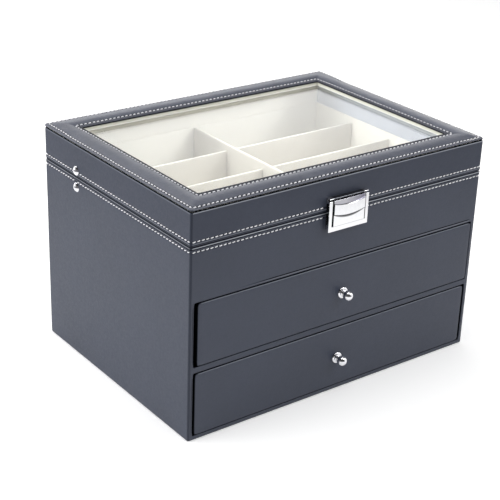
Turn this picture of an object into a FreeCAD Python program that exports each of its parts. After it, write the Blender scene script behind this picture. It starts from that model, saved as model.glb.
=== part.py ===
import FreeCAD, Part
import os, math

V = FreeCAD.Vector
os.makedirs("parts", exist_ok=True)

# ---------------------------------------------------------------------------
# Sunglasses display case: a leather-covered board box with a glazed, hinged
# lid over a divided tray, and two divided drawers below it.
# Millimetres. +Z up, front at -Y, origin at the centre of the underside.
# ---------------------------------------------------------------------------

# overall size
W = 340.0            # width of the case
D = 250.0            # depth of the case
H = 223.0            # height of the lid's top edge
CROWN = 2.8          # how far the padded lid frame swells above that edge
CORNER_R = 2.0       # rounded upright corners of the leather

# boards and coverings
SKIN = 0.8           # leather
BOARD = 3.7          # wall board
LINING = 1.5         # velvet-covered card on the walls
LINING_FLOOR = 1.0

# heights of the case, from the underside up
BASE_TOP = 4.0
LOW_OPEN_TOP = 68.0
SHELF_TOP = 73.5
UP_OPEN_TOP = 136.5
TRAY_FLOOR_T = 3.0
CASE_TOP = 188.3

# lid
LID_BOTTOM = 189.3
LID_SEAM = 221.4     # where the side covering meets the padded frame
FRAME_W = 28.0       # width of the padded frame at the front and the back
FRAME_W_SIDE = 25.8  # and at the left and the right
TOP_BOARD_T = 3.8
TOP_BOARD_Z = 223.2  # upper face of the window board
LIP_Z = 222.7        # the leather is turned down into the window to here
BAND_T = 0.8         # pale band on the window board's edge, between leather and glass
GLASS_T = 3.0
RETAINER_T = 3.5
RETAINER_W = 4.0
LID_BOARD_TOP = TOP_BOARD_Z - TOP_BOARD_T

# tray dividers
DIV_T = 2.6
LONG_DIV_TOP = 189.3
CROSS_DIV_TOP = 182.8
CROSS_Y = (-59.5, 0.0, 59.5)

# drawers
DR_GAP_SIDE = 2.15
DR_GAP_TOP = 1.3
DR_GAP_BOTTOM = 0.6
UP_DR_SHIFT = 1.8    # the upper drawer stands a little to the right in its opening
DR_FRONT_T = 5.0
DR_WALL_T = 3.0
DR_BOTTOM_T = 2.6
DR_BACK_Y = 117.0
DR_SIDE_DROP = 4.5   # the drawer's walls stop this far below its front's top

# lid hinge
HINGE_Y = 127.5
HINGE_Z = 188.8
HINGE_X = 100.0
HINGE_LEN = 36.0
HINGE_R = 2.4
HINGE_PIN_R = 1.0
LEAF_T = 1.2
LEAF_H = 17.0

# lid stay on the left wall
STAY_Y = 65.5
STAY_CASE_Z = 178.8
STAY_LID_Z = 195.3
STAY_W = 7.6
STAY_T = 1.0

# clasp
CLX = -2.0
CL_HALF = 23.0
FLAP_BOT = 170.8
FLAP_TOP = 200.5
PIN_Y = -127.8
PIN_Z = 199.3
PIN_R = 0.6


def box(x0, x1, y0, y1, z0, z1):
    return Part.makeBox(x1 - x0, y1 - y0, z1 - z0, V(x0, y0, z0))


def upright(shape, r, pick=None):
    """Round the upright edges of a box-like solid."""
    es = []
    for e in shape.Edges:
        a, b = e.Vertexes[0].Point, e.Vertexes[-1].Point
        if abs(a.x - b.x) < 1e-6 and abs(a.y - b.y) < 1e-6 and abs(a.z - b.z) > 1:
            if pick is None or pick(a):
                es.append(e)
    return shape.makeFillet(r, es)


def cyl_y(x, y0, y1, z, r):
    return Part.makeCylinder(r, y1 - y0, V(x, y0, z), V(0, 1, 0))


def cyl_x(x0, x1, y, z, r):
    return Part.makeCylinder(r, x1 - x0, V(x0, y, z), V(1, 0, 0))


def fuse(*s):
    a = s[0]
    for b in s[1:]:
        a = a.fuse(b)
    return a.removeSplitter()


def save(name, shape, solids=1):
    if not shape.isValid():
        print("NOT VALID", name)
    if len(shape.Solids) != solids:
        print("SOLIDS", name, len(shape.Solids), "expected", solids)
    if solids == 1 and shape.ShapeType != "Solid":
        shape = shape.Solids[0]
    shape.exportStep("parts/%s.step" % name)
    bb = shape.BoundBox
    print("%-32s %10.1f mm3  x %7.2f %7.2f  y %7.2f %7.2f  z %7.2f %7.2f" % (
        name, shape.Volume, bb.XMin, bb.XMax, bb.YMin, bb.YMax, bb.ZMin, bb.ZMax))


hw, hd = W / 2, D / 2
bx, by = hw - SKIN, hd - SKIN            # outer faces of the boards
ix, iy = bx - BOARD, by - BOARD          # inner faces of the boards
lx, ly = ix - LINING, iy - LINING        # inner faces of the lining

# ---------------------------------------------------------------------------
# Hardware solids first, because boards and leather are drilled for them.
# ---------------------------------------------------------------------------


def hinge_screw(x, z):
    """Countersunk screw driven forward into the back board."""
    head = Part.makeCone(2.7, 1.3, 1.2, V(x, hd + LEAF_T, z), V(0, -1, 0))
    shank = cyl_y(x, hd - 3.2, hd + 0.01, z, 1.3)
    tip = Part.makeCone(1.3, 0.3, 1.0, V(x, hd - 3.2, z), V(0, -1, 0))
    s = head.fuse(shank).fuse(tip).removeSplitter()
    cross = box(x - 1.5, x + 1.5, hd + LEAF_T - 0.5, hd + 2, z - 0.25, z + 0.25).fuse(
        box(x - 0.25, x + 0.25, hd + LEAF_T - 0.5, hd + 2, z - 1.5, z + 1.5))
    return s.cut(cross), s


SCREW_DZ, SCREW_DX = 10.5, 11.5
case_screws, case_screw_plugs, lid_screws, lid_screw_plugs = [], [], [], []
for cx in (-HINGE_X, HINGE_X):
    for dx in (-SCREW_DX, SCREW_DX):
        a, p = hinge_screw(cx + dx, HINGE_Z - SCREW_DZ)
        case_screws.append(a); case_screw_plugs.append(p)
        a, p = hinge_screw(cx + dx, HINGE_Z + SCREW_DZ)
        lid_screws.append(a); lid_screw_plugs.append(p)
case_plugs = Part.makeCompound(case_screw_plugs)
lid_plugs = Part.makeCompound(lid_screw_plugs)


def rivet(z, head_r=4.75, head_h=2.4, shank_r=1.6):
    """Domed rivet through the left wall: dome outside, flat upset head inside."""
    R = (head_r ** 2 + head_h ** 2) / (2 * head_h)
    cap = Part.makeSphere(R, V(-hw - head_h + R, STAY_Y, z)).common(
        box(-hw - head_h - 1, -hw, STAY_Y - 8, STAY_Y + 8, z - 8, z + 8))
    shank = cyl_x(-hw - 0.5, -lx + STAY_T + 0.1, STAY_Y, z, shank_r)
    tail = cyl_x(-lx + STAY_T, -lx + STAY_T + 1.1, STAY_Y, z, 3.2)
    tail = tail.makeFillet(0.5, [e for e in tail.Edges if abs(e.BoundBox.XMin - (-lx + STAY_T + 1.1)) < 1e-6
                                 and abs(e.BoundBox.XMax - (-lx + STAY_T + 1.1)) < 1e-6])
    return fuse(cap, shank, tail)


case_rivet = rivet(STAY_CASE_Z)
lid_rivet = rivet(STAY_LID_Z)

# prongs that hold the two fixed plates of the clasp
PRONG_X = (CLX - 14.0, CLX + 14.0)
catch_prongs = Part.makeCompound([cyl_y(x, -hd - 0.1, -hd + 4.0, 179.5, 1.2) for x in PRONG_X])
bracket_prongs = Part.makeCompound([cyl_y(x, -hd - 0.1, -hd + 4.0, 195.0, 1.2) for x in PRONG_X])

# ---------------------------------------------------------------------------
# CASE
# ---------------------------------------------------------------------------
save("base_board", upright(box(-bx, bx, -by, by, 0, BASE_TOP), 1.2))

outer_corner = lambda p: abs(abs(p.x) - bx) < 1e-6
for side, sx in (("left", -1), ("right", 1)):
    b = box(min(sx * bx, sx * ix), max(sx * bx, sx * ix), -by, by, BASE_TOP, CASE_TOP - SKIN)
    b = upright(b, 1.2, outer_corner)
    if side == "left":
        b = b.cut(case_rivet)
    save(side + "_side_board", b)
save("back_board", box(-ix, ix, iy, by, BASE_TOP, CASE_TOP - SKIN).cut(case_plugs))
save("front_panel_board", box(-ix, ix, -by, -iy, UP_OPEN_TOP, CASE_TOP - SKIN).cut(catch_prongs))
save("drawer_shelf_board", box(-ix, ix, -by, iy, LOW_OPEN_TOP, SHELF_TOP))
save("tray_floor_board", box(-ix, ix, -iy, iy, UP_OPEN_TOP, UP_OPEN_TOP + TRAY_FLOOR_T))

# leather over the walls, turned in over their top edges, with the two drawer openings
outer = upright(box(-hw, hw, -hd, hd, 0.3, CASE_TOP), CORNER_R)
outer = outer.makeFillet(0.5, [e for e in outer.Edges if e.BoundBox.ZMin > CASE_TOP - 1e-6])
inner = upright(box(-bx, bx, -by, by, -1, CASE_TOP - SKIN), 1.2)
leather = outer.cut(inner).cut(box(-ix, ix, -iy, iy, 0, CASE_TOP + 1))
for z0, z1 in ((BASE_TOP, LOW_OPEN_TOP), (SHELF_TOP, UP_OPEN_TOP)):
    leather = leather.cut(box(-ix, ix, -hd - 1, -by + 0.001, z0, z1))
leather = leather.cut(case_plugs).cut(case_rivet).cut(catch_prongs)
save("case_leather", leather)

# velvet-covered card inside the tray: floor and four walls
tz = UP_OPEN_TOP + TRAY_FLOOR_T
tray_lining = box(-ix, ix, -iy, iy, tz, CASE_TOP - 0.6).cut(
    box(-lx, lx, -ly, ly, tz + LINING_FLOOR, CASE_TOP + 1)).cut(case_rivet)
save("tray_lining", tray_lining)
TF = tz + LINING_FLOOR                     # tray floor surface


def dividers(x0, x1, y0, y1, z0, z_long, z_cross, xc, ys, notch=None):
    """One long divider with slots from below, sitting over cross dividers slotted from above."""
    t = DIV_T / 2
    half = z0 + (z_cross - z0) / 2
    long_d = box(xc - t, xc + t, y0, y1, z0, z_long)
    for y in ys:
        long_d = long_d.cut(box(xc - t - 1, xc + t + 1, y - t - 0.1, y + t + 0.1, z0 - 1, half + 0.1))
    cross = []
    for y in ys:
        c = box(x0, x1, y - t, y + t, z0, z_cross)
        c = c.cut(box(xc - t - 0.1, xc + t + 0.1, y - t - 1, y + t + 1, half, z_cross + 1))
        cross.append(c)
    long_d = long_d.makeFillet(0.6, [e for e in long_d.Edges if e.BoundBox.ZMin > z_long - 1e-6
                                     and e.BoundBox.YLength > 10])
    return long_d, cross


long_d, cross = dividers(-lx + 0.1, lx - 0.1, -ly + 0.1, ly - 0.1, TF, LONG_DIV_TOP, CROSS_DIV_TOP, 0.0, CROSS_Y)
save("tray_long_divider", long_d)
for n, c in zip(("front", "middle", "rear"), cross):
    save("tray_%s_cross_divider" % n, c)

# ---------------------------------------------------------------------------
# HINGES: two butt hinges on the back, their pins behind the seam
# ---------------------------------------------------------------------------
seg = HINGE_LEN / 5


def leaf(cx, up):
    s = 1 if up else -1
    z0, z1 = HINGE_Z + s * (HINGE_R + 0.3), HINGE_Z + s * LEAF_H
    plate = box(cx - HINGE_LEN / 2, cx + HINGE_LEN / 2, hd, hd + LEAF_T, min(z0, z1), max(z0, z1))
    far = [e for e in plate.Edges if e.BoundBox.YLength > 1 and abs(e.BoundBox.ZMin - z1) < 1e-6]
    plate = plate.makeFillet(2.5, far)
    body = plate
    for i in ((1, 3) if up else (0, 2, 4)):
        a = cx - HINGE_LEN / 2 + i * seg + (0.1 if i else 0)
        b = cx - HINGE_LEN / 2 + (i + 1) * seg - (0.1 if i < 4 else 0)
        knuckle = cyl_x(a, b, HINGE_Y, HINGE_Z, HINGE_R)
        web = box(a, b, hd + 0.05, hd + LEAF_T, min(z0 + s * 0.5, HINGE_Z), max(z0 + s * 0.5, HINGE_Z))
        body = body.fuse(knuckle).fuse(web)
    body = body.cut(cyl_x(cx - 30, cx + 30, HINGE_Y, HINGE_Z, HINGE_PIN_R + 0.03))
    body = body.cut(lid_plugs if up else case_plugs)
    return body.removeSplitter()


for side, cx in (("left", -HINGE_X), ("right", HINGE_X)):
    save(side + "_hinge_case_leaf", leaf(cx, False))
    save(side + "_hinge_lid_leaf", leaf(cx, True))
pins = []
for cx in (-HINGE_X, HINGE_X):
    p = cyl_x(cx - HINGE_LEN / 2 - 0.4, cx + HINGE_LEN / 2 + 0.4, HINGE_Y, HINGE_Z, HINGE_PIN_R)
    pins.append(p.makeFillet(0.3, [e for e in p.Edges if e.BoundBox.XLength < 1e-6]))
save("hinge_pins", Part.makeCompound(pins), 2)
save("case_hinge_screws", Part.makeCompound(case_screws), 4)
save("lid_hinge_screws", Part.makeCompound(lid_screws), 4)

# ---------------------------------------------------------------------------
# LID
# ---------------------------------------------------------------------------
lb = LID_BOTTOM + SKIN
for side, sx in (("left", -1), ("right", 1)):
    b = box(min(sx * bx, sx * ix), max(sx * bx, sx * ix), -by, by, lb, LID_BOARD_TOP)
    b = upright(b, 1.2, outer_corner)
    if side == "left":
        b = b.cut(lid_rivet)
    save("lid_%s_board" % side, b)
save("lid_front_board", box(-ix, ix, -by, -iy, lb, LID_BOARD_TOP).cut(bracket_prongs))
save("lid_back_board", box(-ix, ix, iy, by, lb, LID_BOARD_TOP).cut(lid_plugs))

wx, wy = hw - FRAME_W_SIDE, hd - FRAME_W        # window inside the leather
top_board = upright(box(-bx, bx, -by, by, LID_BOARD_TOP, TOP_BOARD_Z), 1.2).cut(
    box(-wx - SKIN, wx + SKIN, -wy - SKIN, wy + SKIN, 0, 300))
save("lid_window_board", top_board)

# leather round the lid's walls, turned in under them
outer = upright(box(-hw, hw, -hd, hd, LID_BOTTOM, LID_SEAM), CORNER_R)
outer = outer.makeFillet(0.5, [e for e in outer.Edges if e.BoundBox.ZMax < LID_BOTTOM + 1e-6])
inner = upright(box(-bx, bx, -by, by, lb, 300), 1.2)
band = outer.cut(inner).cut(box(-ix, ix, -iy, iy, 0, 300))
band = band.cut(lid_plugs).cut(lid_rivet).cut(bracket_prongs)
save("lid_side_leather", band)

# padded leather frame: crowned section, mitred at the corners, its edge turned down into the window
zt = H + 0.6


def frame_section():
    """Points (distance in from the outer edge, height) of a rail FRAME_W wide."""
    w = FRAME_W
    crown = [(w * i / 16, zt + (H + CROWN - zt) * (1 - (i / 8 - 1) ** 2)) for i in range(17)]
    return [(0, LID_SEAM + 0.1)] + crown + [(w, LIP_Z), (w - SKIN, LIP_Z),
                                            (w - SKIN, TOP_BOARD_Z), (SKIN, TOP_BOARD_Z), (SKIN, LID_SEAM + 0.1)]


def frame_rail(scale, place):
    p = [place(d * scale, z) for d, z in frame_section()]
    return Part.Face(Part.makePolygon(p + [p[0]]))


# the mitre lines run from each outer corner to the window's corner
MITRE = FRAME_W_SIDE / FRAME_W


def mitre_front(s):
    a = [V(-hw - 5 * MITRE, s * (hd + 5), 200), V(hw + 5 * MITRE, s * (hd + 5), 200),
         V(hw - hd * MITRE, 0, 200), V(-hw + hd * MITRE, 0, 200)]
    w = Part.makePolygon(a + [a[0]])
    return Part.Face(w).extrude(V(0, 0, 60))


def mitre_side(s):
    a = [V(s * (hw + 5 * MITRE), -hd - 5, 200), V(s * (hw + 5 * MITRE), hd + 5, 200), V(s * (hw - hd * MITRE), 0, 200)]
    w = Part.makePolygon(a + [a[0]])
    return Part.Face(w).extrude(V(0, 0, 60))


rails = []
for s in (-1, 1):
    f = frame_rail(1.0, lambda d, z: V(-hw, s * (hd - d), z)).extrude(V(W, 0, 0))
    rails.append(f.common(mitre_front(s)))
    f = frame_rail(MITRE, lambda d, z: V(s * (hw - d), -hd, z)).extrude(V(0, D, 0))
    rails.append(f.common(mitre_side(s)))
pad = fuse(*rails)
pad = pad.common(upright(box(-hw, hw, -hd, hd, 200, 240), CORNER_R))
save("lid_padded_frame", pad)

save("window_edge_band", box(-wx - BAND_T, wx + BAND_T, -wy - BAND_T, wy + BAND_T, LID_BOARD_TOP, LIP_Z).cut(
    box(-wx, wx, -wy, wy, 0, 300)))

# glass under the window board, held up by a strip along the lining
gx, gy = lx - 0.2, ly - 0.2
gz1 = LID_BOARD_TOP
gz0 = gz1 - GLASS_T
save("glass_pane", box(-gx, gx, -gy, gy, gz0, gz1))
save("glass_retainer", box(-gx, gx, -gy, gy, gz0 - RETAINER_T, gz0).cut(
    box(-gx + RETAINER_W, gx - RETAINER_W, -gy + RETAINER_W, gy - RETAINER_W, 0, 300)))
lid_lining = box(-ix, ix, -iy, iy, LID_BOTTOM + 0.8, LID_BOARD_TOP).cut(
    box(-lx, lx, -ly, ly, 0, 300)).cut(lid_rivet)
save("lid_lining", lid_lining)

# ---------------------------------------------------------------------------
# LID STAY: a flat strap on two rivets. Closed, it folds back against the wall.
# Its line is the one that comes straight when the lid is fully open.
# ---------------------------------------------------------------------------
save("case_stay_rivet", case_rivet)
save("lid_stay_rivet", lid_rivet)
x0 = -lx + 0.02
bend_y, bend_z = 90.0, (STAY_CASE_Z + STAY_LID_Z) / 2 + 0.3
pa, pc = V(x0, STAY_Y, STAY_CASE_Z), V(x0, STAY_Y, STAY_LID_Z)


def strap_half(p, q, w):
    d = q.sub(p); n = V(0, -d.z, d.y); n.normalize()
    a = [p.add(n * (w / 2)), q.add(n * (w / 2)), q.sub(n * (w / 2)), p.sub(n * (w / 2))]
    f = Part.Face(Part.makePolygon(a + [a[0]])).extrude(V(STAY_T - 0.04, 0, 0))
    return f


pm = V(x0, bend_y, bend_z)
strap = fuse(strap_half(pa, pm, STAY_W), strap_half(pm, pc, STAY_W),
             cyl_x(x0, x0 + STAY_T - 0.04, STAY_Y, STAY_CASE_Z, STAY_W / 2),
             cyl_x(x0, x0 + STAY_T - 0.04, STAY_Y, STAY_LID_Z, STAY_W / 2),
             cyl_x(x0, x0 + STAY_T - 0.04, bend_y, bend_z, STAY_W / 2))
strap = strap.cut(cyl_x(-200, -100, STAY_Y, STAY_CASE_Z, 1.7)).cut(cyl_x(-200, -100, STAY_Y, STAY_LID_Z, 1.7))
save("lid_stay_strap", strap)

# ---------------------------------------------------------------------------
# CLASP: bracket on the lid, flap on a pin, catch on the case
# ---------------------------------------------------------------------------
bl, br = CLX - CL_HALF + 0.5, CLX + CL_HALF - 0.5
bracket = box(bl, br, -hd - 0.8, -hd, 190.6, 202.9)
lip = box(bl, br, -hd - 4.6, -hd - 0.1, 202.1, 202.9)
lip = lip.makeFillet(0.5, [e for e in lip.Edges if e.BoundBox.XLength > 10 and e.BoundBox.YMax < -hd - 4.5
                           and e.BoundBox.ZMin > 202.8])
LUG_W = 2.2
lugs = []
for a in (bl, br - LUG_W):
    lugs.append(box(a, a + LUG_W, PIN_Y, -hd - 0.1, PIN_Z - 1.1, PIN_Z + 1.1))
    lugs.append(cyl_x(a, a + LUG_W, PIN_Y, PIN_Z, 1.1))
bracket = fuse(bracket, lip, *lugs)
bracket = bracket.fuse(bracket_prongs).cut(cyl_x(bl - 1, br + 1, PIN_Y, PIN_Z, PIN_R + 0.02)).removeSplitter()
save("clasp_bracket", bracket)
pin = cyl_x(bl - 0.1, br + 0.1, PIN_Y, PIN_Z, PIN_R)
save("clasp_pin", pin)

# flap: rimmed plate, deep side grooves, a raised two-step face, a rolled barrel and a snap rib
fl, fr = CLX - CL_HALF, CLX + CL_HALF
FY0, FY1 = -129.0, -130.2                  # back and front of the plate
plate = box(fl, fr, FY1, FY0, FLAP_BOT, FLAP_TOP)
plate = plate.makeFillet(0.35, [e for e in plate.Edges if e.BoundBox.YMax < FY1 + 1e-6])
PH = 18.3                                  # half width of the raised face
for a in (CLX - PH - 1.3, CLX + PH):
    plate = plate.cut(box(a, a + 1.3, FY1 - 1, FY1 + 0.8, 175.6, FLAP_TOP + 1))


def arc_panel(z_low, z_end, z_mid, y_front, low_end=None, low_mid=None):
    """Raised panel, upper edge an arc that dips in the middle."""
    a, b = CLX - PH, CLX + PH
    up = Part.Arc(V(a, 0, z_end), V(CLX, 0, z_mid), V(b, 0, z_end)).toShape()
    e = [up, Part.makeLine(V(b, 0, z_end), V(b, 0, z_low if low_end is None else low_end))]
    if low_end is None:
        e.append(Part.makeLine(V(b, 0, z_low), V(a, 0, z_low)))
        e.append(Part.makeLine(V(a, 0, z_low), V(a, 0, z_end)))
    else:
        e.append(Part.Arc(V(b, 0, low_end), V(CLX, 0, low_mid), V(a, 0, low_end)).toShape())
        e.append(Part.makeLine(V(a, 0, low_end), V(a, 0, z_end)))
    f = Part.Face(Part.Wire(e))
    f.translate(V(0, y_front, 0))
    return f.extrude(V(0, FY1 + 0.3 - y_front, 0))


lower_face = arc_panel(175.6, 189.0, 187.0, FY1 - 0.35)
upper_face = arc_panel(None, 197.6, 195.1, FY1 - 1.0, 187.6, 184.9)
upper_face = upper_face.makeChamfer(0.25, [e for e in upper_face.Edges if e.BoundBox.YMax < FY1 - 1.0 + 1e-6])
barrel = cyl_x(bl + LUG_W + 0.15, br - LUG_W - 0.15, PIN_Y, PIN_Z, 1.3)
rib = box(CLX - 12, CLX + 12, FY0, -128.45, 176.2, 177.6)
flap = fuse(plate, lower_face, upper_face, barrel, rib)
flap = flap.cut(cyl_x(bl, br, PIN_Y, PIN_Z, PIN_R + 0.03)).removeSplitter()
save("clasp_flap", flap)

catch = box(bl, br, -hd - 0.8, -hd, 173.0, 187.2)
bead = cyl_x(CLX - 14, CLX + 14, -hd - 1.5, 179.6, 1.6).common(box(-50, 50, -hd - 6, -hd - 0.1, 170, 190))
catch = fuse(catch, bead).fuse(catch_prongs).removeSplitter()
save("clasp_catch", catch)

# ---------------------------------------------------------------------------
# DRAWERS
# ---------------------------------------------------------------------------


def drawer(name, z_floor, z_open_top, shift, knob_drop):
    z0 = z_floor + DR_GAP_BOTTOM
    zf = z_open_top - DR_GAP_TOP
    zw = zf - DR_SIDE_DROP
    x0, x1 = -ix + DR_GAP_SIDE + shift, ix - DR_GAP_SIDE + shift
    xc = shift
    zk = (z_floor + z_open_top) / 2 - knob_drop
    yf = -by                                   # front face of the front board
    yi = yf + DR_FRONT_T
    # knob, turned in one piece: flange, hollow neck, ball
    prof = [(0.0, 0.0), (5.7, 0.0), (5.7, 0.7), (5.2, 1.4), (3.3, 2.1), (2.5, 2.9)]
    ball_r, ball_c = 4.9, 7.7
    y_face = -hd
    pts = [V(r, -d, 0) for r, d in prof]
    start = math.asin(2.4 / ball_r)
    edges = [Part.makeLine(pts[0], pts[1]), Part.makeLine(pts[1], pts[2])]
    edges.append(Part.Arc(pts[2], pts[3], V(4.5, -1.75, 0)).toShape())
    edges.append(Part.Arc(V(4.5, -1.75, 0), pts[4], pts[5]).toShape())
    ya = -(ball_c - ball_r * math.cos(start))
    edges.append(Part.makeLine(pts[5], V(2.4, ya, 0)))
    edges.append(Part.Arc(V(2.4, ya, 0), V(ball_r, -ball_c, 0), V(0, -ball_c - ball_r, 0)).toShape())
    edges.append(Part.makeLine(V(0, -ball_c - ball_r, 0), pts[0]))
    knob = Part.Face(Part.Wire(edges)).revolve(V(0, 0, 0), V(0, 1, 0), 360)
    if knob.ShapeType != "Solid":
        knob = Part.Solid(Part.Shell(knob.Faces)) if not knob.Solids else knob.Solids[0]
    knob.translate(V(xc, y_face, zk))
    # screw from inside: countersunk head in the board, shank into the knob
    head = Part.makeCone(3.6, 1.9, 2.0, V(xc, yi, zk), V(0, -1, 0))
    shank = cyl_y(xc, y_face - 5.0, yi - 1.9, zk, 1.9)
    screw_plug = head.fuse(shank).removeSplitter()
    slot = box(xc - 2.4, xc + 2.4, yi - 0.7, yi + 1, zk - 0.35, zk + 0.35).fuse(
        box(xc - 0.35, xc + 0.35, yi - 0.7, yi + 1, zk - 2.4, zk + 2.4))
    screw = screw_plug.cut(slot)
    save(name + "_knob", knob.cut(screw_plug))
    save(name + "_knob_screw", screw)
    front = box(x0 + SKIN, x1 - SKIN, yf, yi, z0 + SKIN, zf - SKIN)
    save(name + "_front_board", front.cut(screw_plug))
    # leather over the front, turned in round its edges
    skin = box(x0, x1, -hd, yi, z0, zf).cut(box(x0 + SKIN, x1 - SKIN, yf, yi + 1, z0 + SKIN, zf - SKIN))
    skin = skin.makeFillet(0.55, [e for e in skin.Edges if e.BoundBox.YMax < -hd + 1e-6])
    save(name + "_front_leather", skin.cut(screw_plug))
    # walls and bottom
    xa, xb = x0 + 0.4, x1 - 0.4
    save(name + "_left_board", box(xa, xa + DR_WALL_T, yi, DR_BACK_Y, z0, zw))
    save(name + "_right_board", box(xb - DR_WALL_T, xb, yi, DR_BACK_Y, z0, zw))
    save(name + "_back_board", box(xa + DR_WALL_T, xb - DR_WALL_T, DR_BACK_Y - DR_WALL_T, DR_BACK_Y, z0, zw))
    save(name + "_bottom_board", box(xa + DR_WALL_T, xb - DR_WALL_T, yi, DR_BACK_Y - DR_WALL_T, z0, z0 + DR_BOTTOM_T))
    # velvet lining
    a0, a1 = xa + DR_WALL_T, xb - DR_WALL_T
    b0, b1 = yi, DR_BACK_Y - DR_WALL_T
    zb = z0 + DR_BOTTOM_T
    t = 1.0
    save(name + "_lining", box(a0, a1, b0, b1, zb, zw - 0.4).cut(
        box(a0 + t, a1 - t, b0 + t, b1 - t, zb + t, zw + 1)))
    # dividers, 2 x 4 compartments
    q0, q1 = b0 + t, b1 - t
    pitch = (q1 - q0) / 4
    ys = [q0 + pitch * i for i in (1, 2, 3)]
    ld, cr = dividers(a0 + t + 0.1, a1 - t - 0.1, q0 + 0.1, q1 - 0.1, zb + t, zw - 1.5, zw - 7.5, (a0 + a1) / 2, ys)
    save(name + "_long_divider", ld)
    save(name + "_cross_dividers", Part.makeCompound(cr), 3)
    print(name, "x", x0, x1, "z", z0, zf, "walls", zw, "inner x", a0 + t, a1 - t, "y", q0, q1, "floor", zb + t,
          "cross y", ys, "long top", zw - 1.5, "cross top", zw - 7.5, "knob z", zk)


drawer("lower_drawer", BASE_TOP, LOW_OPEN_TOP, 0.0, 2.0)
drawer("upper_drawer", SHELF_TOP, UP_OPEN_TOP, UP_DR_SHIFT, 2.7)
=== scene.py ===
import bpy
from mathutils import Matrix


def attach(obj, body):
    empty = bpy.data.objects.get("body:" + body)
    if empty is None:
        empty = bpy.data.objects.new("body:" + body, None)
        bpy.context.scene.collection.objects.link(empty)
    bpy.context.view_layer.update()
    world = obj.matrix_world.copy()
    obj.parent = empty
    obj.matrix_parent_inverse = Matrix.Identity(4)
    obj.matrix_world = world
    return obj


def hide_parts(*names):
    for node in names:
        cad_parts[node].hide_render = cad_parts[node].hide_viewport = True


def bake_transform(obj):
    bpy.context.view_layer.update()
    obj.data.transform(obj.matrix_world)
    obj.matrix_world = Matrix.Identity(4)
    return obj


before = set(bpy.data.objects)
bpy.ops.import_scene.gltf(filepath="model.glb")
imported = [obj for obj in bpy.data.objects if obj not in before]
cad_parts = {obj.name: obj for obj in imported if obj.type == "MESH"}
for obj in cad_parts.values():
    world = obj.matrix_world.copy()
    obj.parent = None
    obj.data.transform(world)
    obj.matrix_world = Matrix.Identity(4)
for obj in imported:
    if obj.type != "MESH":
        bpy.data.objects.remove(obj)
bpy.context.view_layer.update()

import math

import bpy
import numpy as np
from mathutils import Matrix, Vector

# ---------------------------------------------------------------------------
# Sunglasses display case. All lengths below are millimetres in the frame of
# the case: +Z up, front at -Y, origin at the centre of the underside.
# ---------------------------------------------------------------------------
MM = 0.001
HX, HY = 170.0, 125.0            # half width and half depth over the leather
CORNER_R = 2.0
SKIN = 0.8
IX, IY = 165.5, 120.5            # inner faces of the wall boards
LX, LY = 164.0, 119.0            # inner faces of the wall linings
CASE_TOP, LID_BOTTOM = 188.3, 189.3
FRAME_W = 28.0
STITCH_PITCH = 4.55
CLASP_X = (-25.4, 21.4)          # the clasp's fixed plates cover the front stitches here
HINGES_X = ((-118.4, -81.6), (81.6, 118.4))
RIVET_Y = 65.5

rng = np.random.default_rng(7)


def sines(p, size, seed, n=6):
    """Smooth pseudo-random height, about -1 to 1, that varies over lengths of about size."""
    g = np.random.default_rng(seed)
    out = np.zeros(len(p))
    for _ in range(n):
        d = g.normal(size=3)
        d /= np.linalg.norm(d)
        k = 2 * math.pi / (size * g.uniform(0.7, 1.6))
        out += np.sin(p @ d * k + g.uniform(0, 2 * math.pi))
    return out / math.sqrt(n) / 1.2


def smooth(t):
    t = np.clip(t, 0, 1)
    return t * t * (3 - 2 * t)


def add_mesh(name, verts, faces, material, body=None, replaces=(), painted_light=None, shade=True, second=None):
    """second: (material, test of a face's centre in mm) for faces of another material."""
    me = bpy.data.meshes.new(name)
    me.from_pydata((np.asarray(verts, float) * MM).tolist(), [], [tuple(int(i) for i in f) for f in faces])
    me.materials.append(material)
    if second is not None:
        me.materials.append(second[0])
        for f in me.polygons:
            if second[1](f.center / MM, f.normal):
                f.material_index = 1
    if painted_light is not None:
        a = me.attributes.new("painted_light", "FLOAT", "POINT")
        a.data.foreach_set("value", np.asarray(painted_light, np.float32))
    me.polygons.foreach_set("use_smooth", [shade] * len(me.polygons))
    me.validate()
    me.update()
    ob = bpy.data.objects.new(name, me)
    bpy.context.scene.collection.objects.link(ob)
    if body:
        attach(ob, body)
    if replaces:
        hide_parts(*replaces)
    return ob


# ---------------------------------------------------------------------------
# Materials
# ---------------------------------------------------------------------------


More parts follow.
